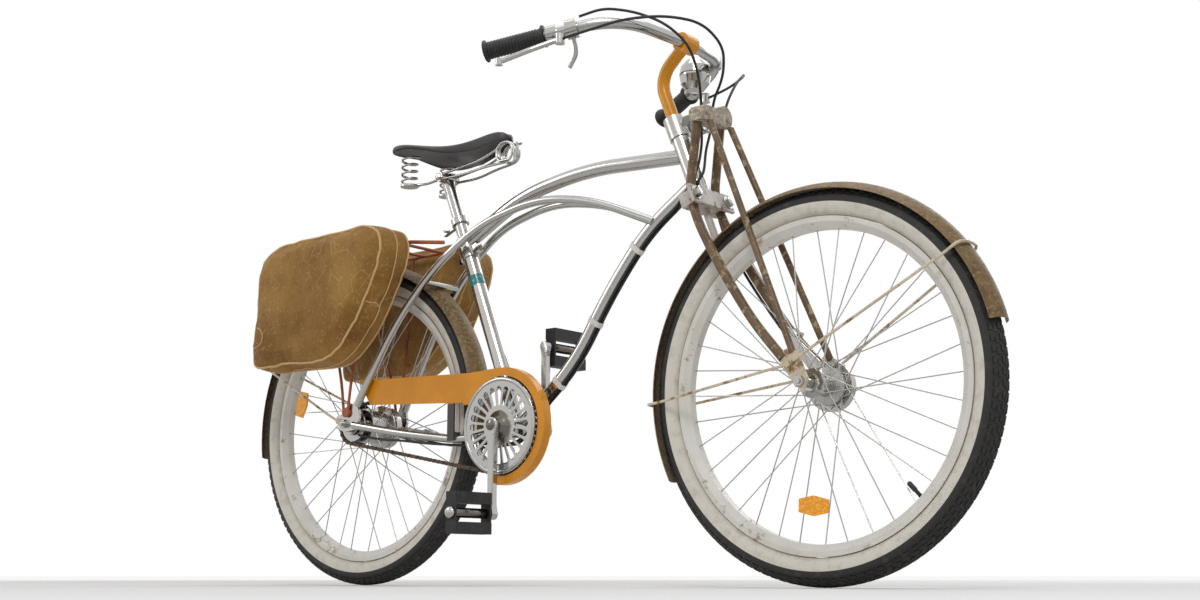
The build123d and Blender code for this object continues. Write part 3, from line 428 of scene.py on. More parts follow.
casing_profile = []
for degrees in range(-casing_half_angle, casing_half_angle + 1, casing_step):
    slope = math.radians(degrees)
    inner = section_radius - (tread_depth if abs(degrees) < tread_half_angle else 0.0)
    casing_profile.append((inner * math.sin(slope), section_centre + inner * math.cos(slope)))

white_from, white_full = 0.3092, 0.3084
rim_dirt_from, rim_dirt_full = 0.294, 0.287
moulded_rings = 2400.0
for end, axle in (("front", front_axle), ("rear", rear_axle)):
    rubber = Finish(end + "_tyre_rubber", Specular_IOR_Level=0.4)
    reach = rubber.from_axle(axle)
    scuff = rubber.noise(45.0, 5.0, 0.65)
    white = reach.step(white_from, white_full)
    dirt = 0.40 * scuff.step(0.46, 0.70) + 0.35 * reach.step(rim_dirt_from, rim_dirt_full)
    wall = rubber.mix(dirt.math("MINIMUM", 1.0), (0.74, 0.70, 0.62), (0.40, 0.33, 0.24))
    black = rubber.mix(scuff.step(0.5, 0.75), (0.020, 0.019, 0.018), (0.062, 0.055, 0.046))
    rubber.set(Base_Color=rubber.mix(white, black, wall), Roughness=0.25 * scuff + 0.5)
    rubber.bump(0.4 * (reach * moulded_rings).math("SINE") + 0.5 * rubber.noise(500.0, 3.0), 0.0004)
    casing = ring_piece(
        end + "_casing", axle, casing_profile, casing_turns, rubber.material, end + "_wheel"
    )
    tread = repeated_about(end + "_tread", tread_stamp(), axle, tread_pitches, rubber.material)
    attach(tread, end + "_wheel")
    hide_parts(end + "_tyre")


# Rims: deep steel rims in white enamel, yellowed in clouds and specked with rust, as are the bands
# that hold the cables. Each rim has a black rubber valve with its cap.
def aged(name, colour, second, worn_colour, amount, rough, scale):
    """Old paint that shifts in clouds and is worn through in patches."""
    finish = Finish(name, Coat_Roughness=0.25, Specular_IOR_Level=0.3)
    cloud = finish.noise(scale, 5.0, 0.6)
    fine = finish.noise(scale * 18, 4.0, 0.65)
    worn = (finish.noise(scale * 2.6, 6.0, 0.68) + 0.18 * fine).step(0.74 - amount, 0.82 - amount)
    base = finish.mix(cloud.step(0.35, 0.68), colour, second)
    finish.set(
        Base_Color=finish.mix(worn, base, worn_colour),
        Roughness=0.35 * worn + 0.15 * fine + rough,
        Coat_Weight=0.14 - 0.14 * worn,
    )
    finish.bump(0.5 * fine - 0.6 * worn, 0.0003)
    return finish.material


white, yellowed, specks = (0.76, 0.74, 0.69), (0.68, 0.65, 0.58), (0.40, 0.31, 0.20)
white_enamel = aged("white_enamel", white, yellowed, specks, 0.06, 0.24, 10.0)
dress(white_enamel, "front_rim", "rear_rim", "cable_bands")
rubber = Finish("black_rubber", Specular_IOR_Level=0.35)
grime = rubber.noise(70.0, 4.0)
rubber.set(
    Base_Color=rubber.mix(grime.step(0.5, 0.8), (0.018, 0.018, 0.018), (0.055, 0.050, 0.045)),
    Roughness=0.3 * grime + 0.38,
)
rubber.bump(rubber.noise(900.0, 2.0), 0.00012)
black_rubber = rubber.material
# (distance towards the axle, radius) from the rim's inner face to the cap's end
valve_profile = [(-0.267, 0.0035), (-0.250, 0.0032), (-0.248, 0.0042), (-0.233, 0.0042), (-0.231, 0.0025)]
for end, axle, degrees in (("front", front_axle, -47.0), ("rear", rear_axle, 130.0)):
    outward = Vector((math.cos(math.radians(degrees)), 0, math.sin(math.radians(degrees))))
    vertices, faces = turned_form(axle, -outward, valve_profile, 16)
    piece(end + "_valve", vertices, faces, black_rubber, end + "_wheel")


# Reflectors: six-cornered plates moulded in amber plastic, with fine prisms behind a smooth face.
# Each lies against the outside of the right-hand spokes and turns with its wheel. The plastic also
# has a faint painted glow in its own amber.
amber_plastic = Finish("amber_plastic", Roughness=0.2, Coat_Weight=0.15, Emission_Strength=0.15)
prism = amber_plastic.cells(210.0, "F1", amber_plastic.stretched(1.0, 0.2, 1.0))
amber_tint_and_painted_glow = amber_plastic.mix(prism.step(0.1, 0.6), (0.95, 0.47, 0.012), (0.80, 0.29, 0.008))
# The same amber is both the plastic's colour and its painted glow.
amber_plastic.set(Base_Color=amber_tint_and_painted_glow, Emission_Color=amber_tint_and_painted_glow)
amber_plastic.bump(prism, 0.0008)
dress(amber_plastic.material, "front_reflector", "rear_reflector")


# Mudguards, fork and rack: brown paint over steel, dull, dusty and rubbed through. Link plates and
# guard stays are cream, crown and yoke are stained steel, and the rack's rods are rust red.

# (finish, colour, second colour, colour where worn, share worn, roughness, scale of clouds, nodes)
paint_rows = [
    ("guard_paint", (0.20, 0.125, 0.048), (0.105, 0.062, 0.024), (0.34, 0.235, 0.11), 0.13, 0.42, 62.0,
     "rear_mudguard", "front_mudguard"),
    ("fork_paint", (0.17, 0.105, 0.050), (0.10, 0.058, 0.025), (0.46, 0.35, 0.21), 0.10, 0.38, 24.0,
     "fork_legs", "fork_struts"),
    ("cream_paint", (0.70, 0.62, 0.47), (0.60, 0.50, 0.35), (0.30, 0.18, 0.09), 0.12, 0.35, 18.0,
     "fork_links", "front_guard_stays", "rear_guard_stays"),
    ("crown_steel", (0.60, 0.55, 0.50), (0.46, 0.41, 0.36), (0.24, 0.14, 0.08), 0.09, 0.28, 30.0,
     "fork_crown"),
    ("yoke_steel", (0.40, 0.34, 0.26), (0.26, 0.20, 0.14), (0.62, 0.56, 0.44), 0.15, 0.34, 55.0,
     "fork_yoke"),
    ("rack_paint", (0.44, 0.12, 0.040), (0.30, 0.075, 0.025), (0.19, 0.10, 0.06), 0.12, 0.35, 18.0,
     "rear_rack"),
]
for name, colour, second, worn_colour, amount, rough, scale, *nodes in paint_rows:
    dress(aged(name, colour, second, worn_colour, amount, rough, scale), *nodes)

steer_lean = math.radians(69.0)
head_direction = Vector((-math.cos(steer_lean), 0, math.sin(steer_lean)))
head_forward = Vector((math.sin(steer_lean), 0, math.cos(steer_lean)))
crown_bolt_drop, crown_bolt_ahead, crown_bolt_side = 0.018, 0.0212, 0.049
crown_bolt_radius, crown_bolt_height = 0.0095, 0.009
crown_middle = at(880.6, 702) - head_direction * crown_bolt_drop
crown_rows = [
    (
        crown_middle + head_forward * crown_bolt_ahead + Vector((0, side, 0)),
        head_forward,
        crown_bolt_radius,
        crown_bolt_height,
    )
    for side in (-crown_bolt_side, crown_bolt_side)
]
bolts("crown_bolts", crown_rows, chrome, "steering")


# Chain guard and stem: steel in glossy amber enamel, a little faded and chipped here and there.
# The guard's bracket, low down at its rear, is black.
amber, faded_amber, chipped = (0.76, 0.30, 0.008), (0.66, 0.25, 0.006), (0.44, 0.27, 0.12)
bracket_black = (0.06, 0.055, 0.05)
bracket_front, bracket_top, bracket_edge = 313, 357, 0.001
dress(aged("amber_enamel", amber, faded_amber, chipped, 0.05, 0.2, 12.0), "stem")
guard_enamel = Finish("guard_enamel", Coat_Roughness=0.25, Specular_IOR_Level=0.3)
bracket = guard_enamel.along((1, 0, 0), at(bracket_front, 0)).step(bracket_edge, 0.0)
bracket = bracket * guard_enamel.along((0, 0, 1), at(0, bracket_top)).step(bracket_edge, 0.0)
fade = guard_enamel.noise(12.0, 5.0, 0.6)
chip = guard_enamel.noise(31.0, 6.0, 0.68).step(0.71, 0.78)
shade = guard_enamel.mix(fade.step(0.35, 0.68), amber, faded_amber)
shade = guard_enamel.mix(chip, shade, chipped)
guard_enamel.set(
    Base_Color=guard_enamel.mix(bracket, shade, bracket_black),
    Roughness=0.15 * fade + 0.25 * chip + 0.22 * bracket + 0.18,
    Coat_Weight=0.16 - 0.16 * chip,
)
guard_enamel.bump(0.4 * guard_enamel.noise(200.0) - 0.6 * chip, 0.0003)
dress(guard_enamel.material, "chain_guard")


# Chainwheel: a pressed and plated disc with petal slots between its hub and a rolled lip, in front
# of the toothed ring that drives the chain. Its hub is turned from worn steel.
disc_slots, ring_teeth, round_steps = 24, 46, 96
disc_outer_face, disc_inner_face = -0.0600, -0.0570
disc_radius, disc_bore = 0.094, 0.014
slot_outer, slot_outer_radius, slot_inner, slot_inner_radius = 0.0705, 0.0066, 0.0425, 0.0034
web_outer, web_inner = 0.082, 0.028
tooth_outer_face, tooth_inner_face, tooth_root = -0.0475, -0.0445, 0.080
# (share of a pitch round, radius) of a tooth from one gap to the next
tooth_outline = [
    (0.0, 0.0865), (0.22, 0.0875), (0.36, 0.0955), (0.50, 0.0975),
    (0.64, 0.0955), (0.78, 0.0875), (1.0, 0.0865),
]
# (distance left, radius) of what is turned about the crank's axle
ring_section = [(-0.0575, 0.074), (-0.0575, 0.087), (-0.0440, 0.087), (-0.0440, 0.074)]
lip_section = [
    (-0.0598, 0.0865), (-0.0612, 0.0885), (-0.0614, 0.0905),
    (-0.0608, 0.0925), (-0.0595, 0.0938), (-0.0575, 0.0900),
]
# (distance right, radius) of the hub
hub_profile = [
    (0.038, 0.0155), (0.0562, 0.0160), (0.0565, 0.0300), (0.0598, 0.0300), (0.0612, 0.0285), (0.0640, 0.0190),
    (0.0689, 0.0165),
]


def welded(item, body):
    """Joins what a node tree has laid side by side, and puts the piece on its body."""
    cleaned(item.data, merge=1e-5)
    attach(item, body)


def disc_sector():
    """One slot of the disc with the plate round it, from the bore to the edge."""
    half = math.degrees(math.tau / disc_slots) / 2
    edge = [(slot_outer, -half), (web_outer, -half)]
    edge += [(disc_radius, -half), (disc_radius, -half / 2), (disc_radius, 0)]
    edge += [(reach, -degrees) for reach, degrees in reversed(edge[:-1])]
    edge += [(slot_inner, half), (web_inner, half), (disc_bore, half), (disc_bore, 0)]
    edge += [(disc_bore, -half), (web_inner, -half), (slot_inner, -half)]
    # the sector's edges that lie on the disc's rim or in its bore, and so need a wall
    walled_edges = (2, 3, 4, 5, 11, 12)
    around = [(r * math.cos(math.radians(a)), r * math.sin(math.radians(a))) for r, a in edge]
    slot = []
    for centre, radius, first, last, count in (
        (slot_outer, slot_outer_radius, -90, 90, 9),
        (slot_inner, slot_inner_radius, 90, 270, 7),
    ):
        for step in range(count):
            turn = math.radians(first + (last - first) * step / (count - 1))
            slot.append((centre + radius * math.cos(turn), radius * math.sin(turn)))
    count = len(slot)
    vertices = [(x, side, z) for side in (disc_outer_face, disc_inner_face) for x, z in slot + around]
    faces = []
    for index in range(count):
        after = (index + 1) % count
        slot_wall = (index, after, 2 * count + after, 2 * count + index)
        front = (index, after, count + after, count + index)
        faces += [front, tuple(corner + 2 * count for corner in reversed(front)), slot_wall]
        if index in walled_edges:
            faces.append((count + index, count + after, 3 * count + after, 3 * count + index))
    return meshed("disc_sector", vertices, faces)


def ring_tooth():
    """One tooth of the chain ring with its share of the ring's edge."""
    pitch = math.tau / ring_teeth
    vertices = []
    for side in (tooth_outer_face, tooth_inner_face):
        for share, reach in tooth_outline + [(1.0, tooth_root), (0.0, tooth_root)]:
            vertices.append((reach * math.cos(share * pitch), side, reach * math.sin(share * pitch)))
    count = len(tooth_outline) + 2
    faces = [tuple(range(count)), tuple(count + index for index in reversed(range(count)))]
    faces += [(index, index + 1, count + index + 1, count + index) for index in range(len(tooth_outline) - 1)]
    return meshed("ring_tooth", vertices, faces)


disc = repeated_about("slotted_disc", disc_sector(), crank_centre, disc_slots, chrome)
welded(disc, "crank")
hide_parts("chainwheel")
welded(repeated_about("ring_teeth", ring_tooth(), crank_centre, ring_teeth, chrome), "crank")
ring_piece("chain_ring", crank_centre, ring_section, round_steps, chrome, "crank")
ring_piece("disc_lip", crank_centre, lip_section, round_steps, chrome, "crank")
worn_steel = plated("worn_steel", (0.17, 0.155, 0.135), 0.34, 0.05)[0].material
vertices, faces = turned_form(crank_centre, (0, -1, 0), hub_profile, 48)
piece("chainwheel_hub", vertices, faces, worn_steel, "crank")


# Crank arms: forged and chromed bars, slim between the round boss and the pedal's eye, on one axle
# whose caps are worn steel. Sleeves and end caps turn with the pedals on axles screwed into the eyes.
arm_inner, arm_outer, arm_length, axle_radius = 0.06895, 0.083, 0.170, 0.008
# (down from the crank's axle, half width)
arm_widths = [
    (-0.0150, 0.0), (-0.0130, 0.0075), (-0.0075, 0.0130), (0.0, 0.0150), (0.0085, 0.0128), (0.022, 0.0092),
    (0.050, 0.0078), (0.110, 0.0066), (0.150, 0.0066), (0.160, 0.0084), (0.170, 0.0110), (0.1765, 0.0088),
    (0.1795, 0.0055), (0.1810, 0.0),
]
# (distance from the frame's middle, share of the width), for edges that are eased
arm_layers = [(arm_inner, 0.93), (arm_inner + 0.002, 1.0), (arm_outer - 0.003, 1.0), (arm_outer, 0.82)]
# (distance from the frame's middle, radius)
sleeve_profile = [(0.0932, 0.0088), (0.0934, 0.0094), (0.1806, 0.0094), (0.1808, 0.0088)]
pedal_cap = [
    (0.1852, 0.0088), (0.1853, 0.0112), (0.1885, 0.0112), (0.1905, 0.0102), (0.1925, 0.0070), (0.1930, 0.0),
]
axle_cap = [(0.0815, 0.0112), (0.0836, 0.0112), (0.0845, 0.0104), (0.0848, 0.0)]

vertices, faces = [], []
for side in (-1, 1):
    outline = arm_widths + [(down, -across) for down, across in reversed(arm_widths[1:-1])]
    arm = [
        crank_centre + Vector((across * share, side * depth, side * down))
        for depth, share in arm_layers
        for down, across in outline
    ]
    add_form(vertices, faces, (arm, skinned(len(arm_layers), len(outline))))
axle_end = crank_centre - Vector((0, arm_inner, 0))
axle_profile = [(0, axle_radius), (2 * arm_inner, axle_radius)]
add_form(vertices, faces, turned_form(axle_end, (0, 1, 0), axle_profile, 32))
crank_arms = piece("crank_arms", vertices, faces, chrome, "crank", smooth=False)
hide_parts("cranks")
for side, body in ((-1, "right_pedal"), (1, "left_pedal")):
    pedal_end = crank_centre + Vector((0, 0, side * arm_length))
    vertices, faces = turned_form(pedal_end, (0, side, 0), sleeve_profile, 32)
    piece(body + "_sleeve", vertices, faces, worn_steel, body)
    vertices, faces = turned_form(pedal_end, (0, side, 0), pedal_cap, 32)
    piece(body + "_cap", vertices, faces, chrome, body)
    vertices, faces = turned_form(crank_centre, (0, side, 0), axle_cap, 32)
    piece("axle_cap_" + body.split("_")[0], vertices, faces, worn_steel, "crank")


# Chain: roller links of dark oily steel, worn brown. Each pair of plates has two waists, and the
# links follow the chain's own loop round the sprocket and the chainwheel.
chain_links, chain_plane = 102, Vector((0, -0.046, 0))
ring_reach, sprocket_reach, arc_points = 0.093, 0.040, 49
half_link, plate_end_radius, pin_corners = 0.0066, 0.0042, 8
# (name, plate's inner face, its outer face, half waist, pin's or roller's reach, its radius)
link_rows = [
    ("inner_link", 0.0012, 0.0023, 0.0031, 0.0012, 0.0036),
    ("outer_link", 0.0025, 0.0036, 0.0025, 0.0042, 0.0018),
]


def chain_loop():
    """Points round the sprocket and the chainwheel, evenly close on the arcs."""
    apart = crank_centre - rear_axle
    lean = math.atan2(apart.z, apart.x)
    spread = math.asin((ring_reach - sprocket_reach) / apart.length)
    upper, lower = lean + math.pi / 2 + spread, lean - math.pi / 2 - spread
    loop = []
    for centre, radius, start, stop in (
        (crank_centre, ring_reach, upper, lower),
        (rear_axle, sprocket_reach, lower, upper - math.tau),
    ):
        for step in range(arc_points):
            turn = start + (stop - start) * step / (arc_points - 1)
            loop.append(centre + chain_plane + radius * Vector((math.cos(turn), 0, math.sin(turn))))
    return loop


def link_stamp(name, inner, outer, waist, reach, radius):
    """Two waisted plates, with two rollers for an inner link and two pin heads for an outer one."""
    outline = []
    for centre, first, last in ((half_link, -70, 70), (-half_link, 110, 250)):
        for degrees in range(first, last + 1, 35):
            turn = math.radians(degrees)
            outline.append((centre + plate_end_radius * math.cos(turn), plate_end_radius * math.sin(turn)))
        outline.append((0.0, waist if centre > 0 else -waist))
    vertices, faces = [], []
    for side in (-1, 1):
        plate = [(x, side * offset, z) for offset in (inner, outer) for x, z in outline]
        add_form(vertices, faces, (plate, skinned(2, len(outline))))
    turns = [step * math.tau / pin_corners for step in range(pin_corners)]
    for centre in (-half_link, half_link):
        pin = [
            (centre + radius * math.cos(turn), side, radius * math.sin(turn))
            for side in (-reach, reach)
            for turn in turns
        ]
        add_form(vertices, faces, (pin, skinned(2, pin_corners)))
    mesh = meshed(name, vertices, faces)
    cleaned(mesh)
    return added(name, mesh)


def threaded(name, places, closed):
    """A curve that runs straight from each place to the next."""
    curve = bpy.data.curves.new(name, "CURVE")
    curve.dimensions = "3D"
    spline = curve.splines.new("POLY")
    spline.points.add(len(places) - 1)
    for point, place in zip(spline.points, places):
        point.co = (*place, 1)
    spline.use_cyclic_u = closed
    return curve


def linked_chain(name, path, stamps, count, material):
    """Stamps set in turn along a closed path by a node tree, as one plain mesh."""
    tree, count_input, given = new_tree(name, "Path", "Links", "Chain")
    along = {"Curve": given.outputs["Path"], "Count": given.outputs["Links"]}
    points = add_node(tree, "GeometryNodeCurveToPoints", along, mode="COUNT")
    tangent = {"Vector": points.outputs["Tangent"]}
    aligned = add_node(tree, "FunctionNodeAlignRotationToVector", tangent, axis="X", pivot_axis="Y")
    index = add_node(tree, "GeometryNodeInputIndex")
    odd = add_node(tree, "ShaderNodeMath", {0: index.outputs[0], 1: len(stamps)}, operation="MODULO")
    joined = add_node(tree, "GeometryNodeJoinGeometry")
    for turn, stamp in enumerate(stamps):
        compared = {0: odd.outputs[0], 1: turn, 2: 0.1}
        chosen = add_node(tree, "ShaderNodeMath", compared, operation="COMPARE")
        source = add_node(tree, "GeometryNodeObjectInfo", {"Object": stamp})
        place = {"Points": points.outputs["Points"], "Selection": chosen.outputs[0]}
        place |= {"Instance": source.outputs["Geometry"], "Rotation": aligned.outputs[0]}
        copies = add_node(tree, "GeometryNodeInstanceOnPoints", place)
        tree.links.new(copies.outputs[0], joined.inputs[0])
    item = run_tree(name, tree, joined, count_input, count, threaded(name + "_path", path, True), material)
    for stamp in stamps:
        bpy.data.objects.remove(stamp)
    return item


oily, browned, rusty = (0.050, 0.038, 0.030), (0.085, 0.058, 0.040), (0.20, 0.11, 0.05)
chain_steel = aged("oily_chain", oily, browned, rusty, 0.14, 0.42, 60.0)
stamps = [link_stamp(*row) for row in link_rows]
roller_chain = linked_chain("roller_chain", chain_loop(), stamps, chain_links, chain_steel)
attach(roller_chain, "frame")
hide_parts("chain")


# Black rubber and plastic: pedals, the front cable's sleeve and the grips, which are pushed onto the
# bar's ends, with a flange at each end and ribs for the fingers between.
dress(black_rubber, "pedal_right", "pedal_left", "front_brake_cable")
grip_overhang = 0.004
rib_count, first_rib, rib_pitch = 16, 0.0085, 0.0061
# (distance inwards, radius) of the outer flange, of one rib and of the inner flange
outer_flange = [(0.0, 0.012), (0.0005, 0.0195), (0.002, 0.021), (0.0042, 0.0205), (0.006, 0.0165)]
rib_section = [(0.0, 0.0150), (0.0008, 0.0164), (0.0036, 0.0164), (0.0044, 0.0150)]
inner_flange = [(0.1115, 0.0165), (0.1135, 0.0205), (0.116, 0.021), (0.1178, 0.0195), (0.118, 0.012)]
ribs = [
    (first_rib + rib * rib_pitch + reach, radius)
    for rib in range(rib_count)
    for reach, radius in rib_section
]
grip_profile = outer_flange + ribs + inner_flange
for side, end in ((-1, "right"), (1, "left")):
    bar_end = at(595, 969, side * 268)
    inwards = (at(820, 1010, side * 165) - bar_end).normalized()
    vertices, faces = turned_form(bar_end - inwards * grip_overhang, inwards, grip_profile, 40)
    sleeve = piece("grip_sleeve_" + end, vertices, faces, black_rubber, "steering")
    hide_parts("grip_" + end)


# Cables from the bar to the frame: sleeves of black plastic. Each keeps its own form, and is cut into
# short lengths above a height on the head tube.
longest_cut = 0.008
turns_fully, turns_no_more = at(870, 838), at(870, 742)
for name in ("rear_brake_cable", "gear_cable"):
    made = bmesh.new()
    made.from_mesh(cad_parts[name].data)
    bmesh.ops.remove_doubles(made, verts=made.verts, dist=1e-6)
    uncut = list(made.edges)
    while uncut:
        uncut = [edge for edge in made.edges if edge.calc_length() > longest_cut]
        uncut = [edge for edge in uncut if max(vertex.co.z for vertex in edge.verts) > turns_no_more.z]
        if uncut:
            bmesh.ops.subdivide_edges(made, edges=uncut, cuts=1)
    bmesh.ops.recalc_face_normals(made, faces=made.faces)
    mesh = bpy.data.meshes.new("bending_" + name)
    made.to_mesh(mesh)
    made.free()
    mesh.materials.append(black_rubber)
    mesh.shade_smooth()
    bending = added("bending_" + name, mesh)
    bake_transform(bending)
    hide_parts(name)


# Saddle: a padded top of black leather, smooth and hard, with fine grain and paler rubbed edges. It
# is drawn over a shell whose hollow underside sits on the wire rails and springs.
leather = Finish("saddle_leather", Coat_Roughness=0.3)
grain = leather.cells(520.0)
rub = leather.noise(18.0, 4.0)
leather.set(
    Base_Color=leather.mix(rub.step(0.52, 0.78), (0.016, 0.015, 0.015), (0.060, 0.052, 0.046)),
    Roughness=0.25 * rub + 0.2 * grain + 0.26,
    Coat_Weight=0.3 - 0.2 * rub,
)
leather.bump(grain + 0.4 * rub, 0.0003)

# (ahead, half width, top, skirt) in millimetres, from the back edge to the nose
saddle_stations = [
    (130, 30, 906, 900), (136, 72, 911, 895), (148, 95, 914, 893.5), (176, 105, 912.5, 893.5),
    (206, 98.5, 906, 893.5), (236, 82, 901.5, 888), (262, 65, 899.5, 880), (296, 47, 901, 878.5),
    (330, 34.5, 907.5, 879), (362, 28, 914, 887), (384, 23.5, 915.5, 893.5), (397, 17, 912, 894.5),
    (402.5, 8, 906, 897),
]
# (share of the half width, millimetres from the top) over the padding, for sections of full height
saddle_round, full_height = [(0.0, -2.5), (0.36, -0.6), (0.66, 0.0), (0.88, -3.0), (0.985, -8.0)], 18
# (share of the half width, share of the height) down the skirt, and back under it to the middle
saddle_skirt = [(1.0, 0.28), (0.985, 0.0)]
saddle_under = [(0.80, 0.30), (0.35, 0.42)]
skirt_turn, skirt_edge, middle_rise = 0.93, 0.4, 0.45


def saddle_section(half, top, skirt):
    """One closed section, as (left, up): a padded top, rounded edges, skirts and a hollow underside."""
    height = top - skirt
    fullness = min(1.0, height / full_height)
    shown = [(half * share, top + drop * fullness) for share, drop in saddle_round]
    shown += [(half * share, skirt + height * rise) for share, rise in saddle_skirt]
    under = [(half * skirt_turn, skirt + skirt_edge)]
    under += [(half * share, skirt + height * rise) for share, rise in saddle_under]
    right_side = [(-left, up) for left, up in reversed((shown + under)[1:])]
    return shown + under + [(0.0, skirt + height * middle_rise)] + right_side


vertices = []
for ahead, half, top, skirt in saddle_stations:
    section = saddle_section(half, top, skirt)
    vertices += [at(ahead, up, left) for left, up in section]
faces = skinned(len(saddle_stations), len(section))
saddle_cover = piece("saddle_cover", vertices, faces, leather.material, "frame")
smooth = saddle_cover.modifiers.new("smooth", "SUBSURF")
smooth.levels = smooth.render_levels = 2
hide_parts("saddle")


# Panniers: bags of waxed brown canvas, cloudy with wax, creased pale at the folds and hung on the
# rack. Both edges of the deep side band are piped, seams run round its middle and up the pocket,
# and a round patch without lettering is sewn to the right-hand bag.
canvas = Finish("waxed_canvas", Specular_IOR_Level=0.22)
cloud = canvas.noise(7.0, 5.0, 0.6)
crack = canvas.cells(26.0, "DISTANCE_TO_EDGE", canvas.stretched(1.0, 1.0, 0.8)).step(0.035, 0.0)
creased = crack * canvas.noise(5.0, 3.0).step(0.44, 0.60) * canvas.noise(40.0, 3.0).step(0.35, 0.6)
wax = canvas.mix(cloud.step(0.30, 0.70), (0.215, 0.098, 0.017), (0.40, 0.215, 0.052))
speckle = 0.45 * canvas.noise(170.0, 3.0).step(0.56, 0.72)
canvas.set(
    Base_Color=canvas.mix((0.55 * creased + speckle).math("MINIMUM", 1.0), wax, (0.66, 0.44, 0.17)),
    Roughness=0.25 * cloud + 0.15 * creased + 0.42,
)
threads = 4200.0
weave_x = (canvas.along((1, 0, 0), (0, 0, 0)) * threads).math("SINE")
weave_z = (canvas.along((0, 0, 1), (0, 0, 0)) * threads).math("SINE")
canvas.bump(0.10 * weave_x + 0.10 * weave_z + 0.9 * cloud + 0.5 * canvas.noise(55.0, 4.0), 0.0011)
piping_cord = Finish("canvas_piping", Specular_IOR_Level=0.3)
ply = piping_cord.noise(260.0, 3.0)
piping_cord.set(
    Base_Color=piping_cord.mix(ply, (0.50, 0.30, 0.115), (0.76, 0.53, 0.26)),
    Roughness=0.2 * ply + 0.5,
)
piping_cord.bump(ply, 0.0004)

# (ahead, up) in millimetres, before the corners are rounded
bag_outline = [
    (-208, 474), (-193, 447), (20, 438), (81, 463), (145, 524), (200, 622),
    (215, 680), (202, 717), (147, 739), (-109, 739), (-185, 711), (-208, 640),
]
bag_half_length, bag_half_height = 215.0, 155.0
# (millimetres from the bicycle's middle, inset) of the bag's layers, from its back to its front
bag_layers = [(79, 12), (82, 4), (90, 0), (110, 0), (135, 0), (156, 1), (167, 6), (171, 16)]
bag_inner_face, face_lift, cord_lift = 76.8, 0.0004, 0.0006
voxel, swell_cap, swell_pressure, swell_steps = 0.0065, 0.013, 4.0, 20
folds_from, folds_over, fold_height, crease_depth = 0.095, 0.05, 0.0030, 0.0040
# (name, millimetres from the bicycle's middle, inset, thickness in metres) of the cords all round
cord_rows = [("outer", 168, 5, 0.0026), ("seam", 122, 0, 0.0013), ("inner", 86, 2, 0.0022)]
pocket_ahead, pocket_up, pocket_depths, pocket_thickness = 168, 560, range(122, 165, 7), 0.0013
patch_ahead, patch_up, patch_depth, patch_radius = -163, 522, 172, 21
patch_points, patch_thickness = 28, 0.0012


def rounded(points, passes, keep=0.78, give=0.22):
    """A closed outline with its corners cut again and again until they are round."""
    for _ in range(passes):
        cut = []
        for first, second in zip(points, points[1:] + points[:1]):
            cut.append((first[0] * keep + second[0] * give, first[1] * keep + second[1] * give))
            cut.append((first[0] * give + second[0] * keep, first[1] * give + second[1] * keep))
        points = cut
    return points


def shrunk(points, inset):
    """The bag's outline moved inwards, towards its middle."""
    middle = (sum(p[0] for p in points) / len(points), sum(p[1] for p in points) / len(points))
    along, up = 1 - inset / bag_half_length, 1 - inset / bag_half_height
    return [(middle[0] + (p[0] - middle[0]) * along, middle[1] + (p[1] - middle[1]) * up) for p in points]


def swollen(item):
    """The bag's cloth pushed out by what is in it, as a new plain mesh."""
    cloth = item.modifiers.new("cloth", "CLOTH")
    cloth.settings.use_pressure = True
    cloth.settings.uniform_pressure_force = swell_pressure
    cloth.settings.effector_weights.gravity = 0.0
    cloth.settings.quality = 5
    for step in range(1, swell_steps + 1):
        bpy.context.scene.frame_set(step)
    moved = frozen(item)
    for vertex, rest in zip(moved.vertices, item.data.vertices):
        move = vertex.co - rest.co
        if move.length > swell_cap:
            vertex.co = rest.co + move.normalized() * swell_cap
    item.modifiers.clear()
    bpy.context.scene.frame_set(1)
    return moved


def creased_skin(mesh, flat, side):
    """Smooths a bag's mesh, folds and creases its front, and lays its back on a plane."""
    made = bmesh.new()
    made.from_mesh(mesh)
    bmesh.ops.smooth_vert(
        made, verts=made.verts, factor=0.5, use_axis_x=True, use_axis_y=True, use_axis_z=True
    )
    made.normal_update()
    for vertex in made.verts:
        place = vertex.co
        outer = min(1.0, max(0.0, (abs(place.y) - folds_from) / folds_over))
        folds = noise.noise(Vector((place.x * 9, place.y * 4, place.z * 7)))
        creases = abs(noise.noise(Vector((place.x * 21 + 4, place.y * 12, place.z * 17 + place.x * 9))))
        vertex.co = place + vertex.normal * (fold_height * folds - crease_depth * creases) * outer
    for vertex in made.verts:
        if abs(vertex.co.y) < flat:
            vertex.co.y = side * flat
    made.to_mesh(mesh)
    made.free()
    for face in mesh.polygons:
        face.use_smooth = True


def laid_cord(name, skin, places, thickness, closed):
    """A cord laid on a bag's skin, through the points of it that lie nearest to the places."""
    route = []
    for place in places:
        found = skin.find_nearest(place)
        route.append(found[0] + found[1] * cord_lift)
    curve = threaded(name, route, closed)
    curve.bevel_depth = thickness
    curve.bevel_resolution = 2
    curve.use_fill_caps = not closed
    carrier = added(name + "_carrier", curve)
    mesh = frozen(carrier)
    bpy.data.objects.remove(carrier)
    mesh.materials.clear()
    mesh.materials.append(piping_cord.material)
    piping = added(name, mesh)
    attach(piping, "frame")


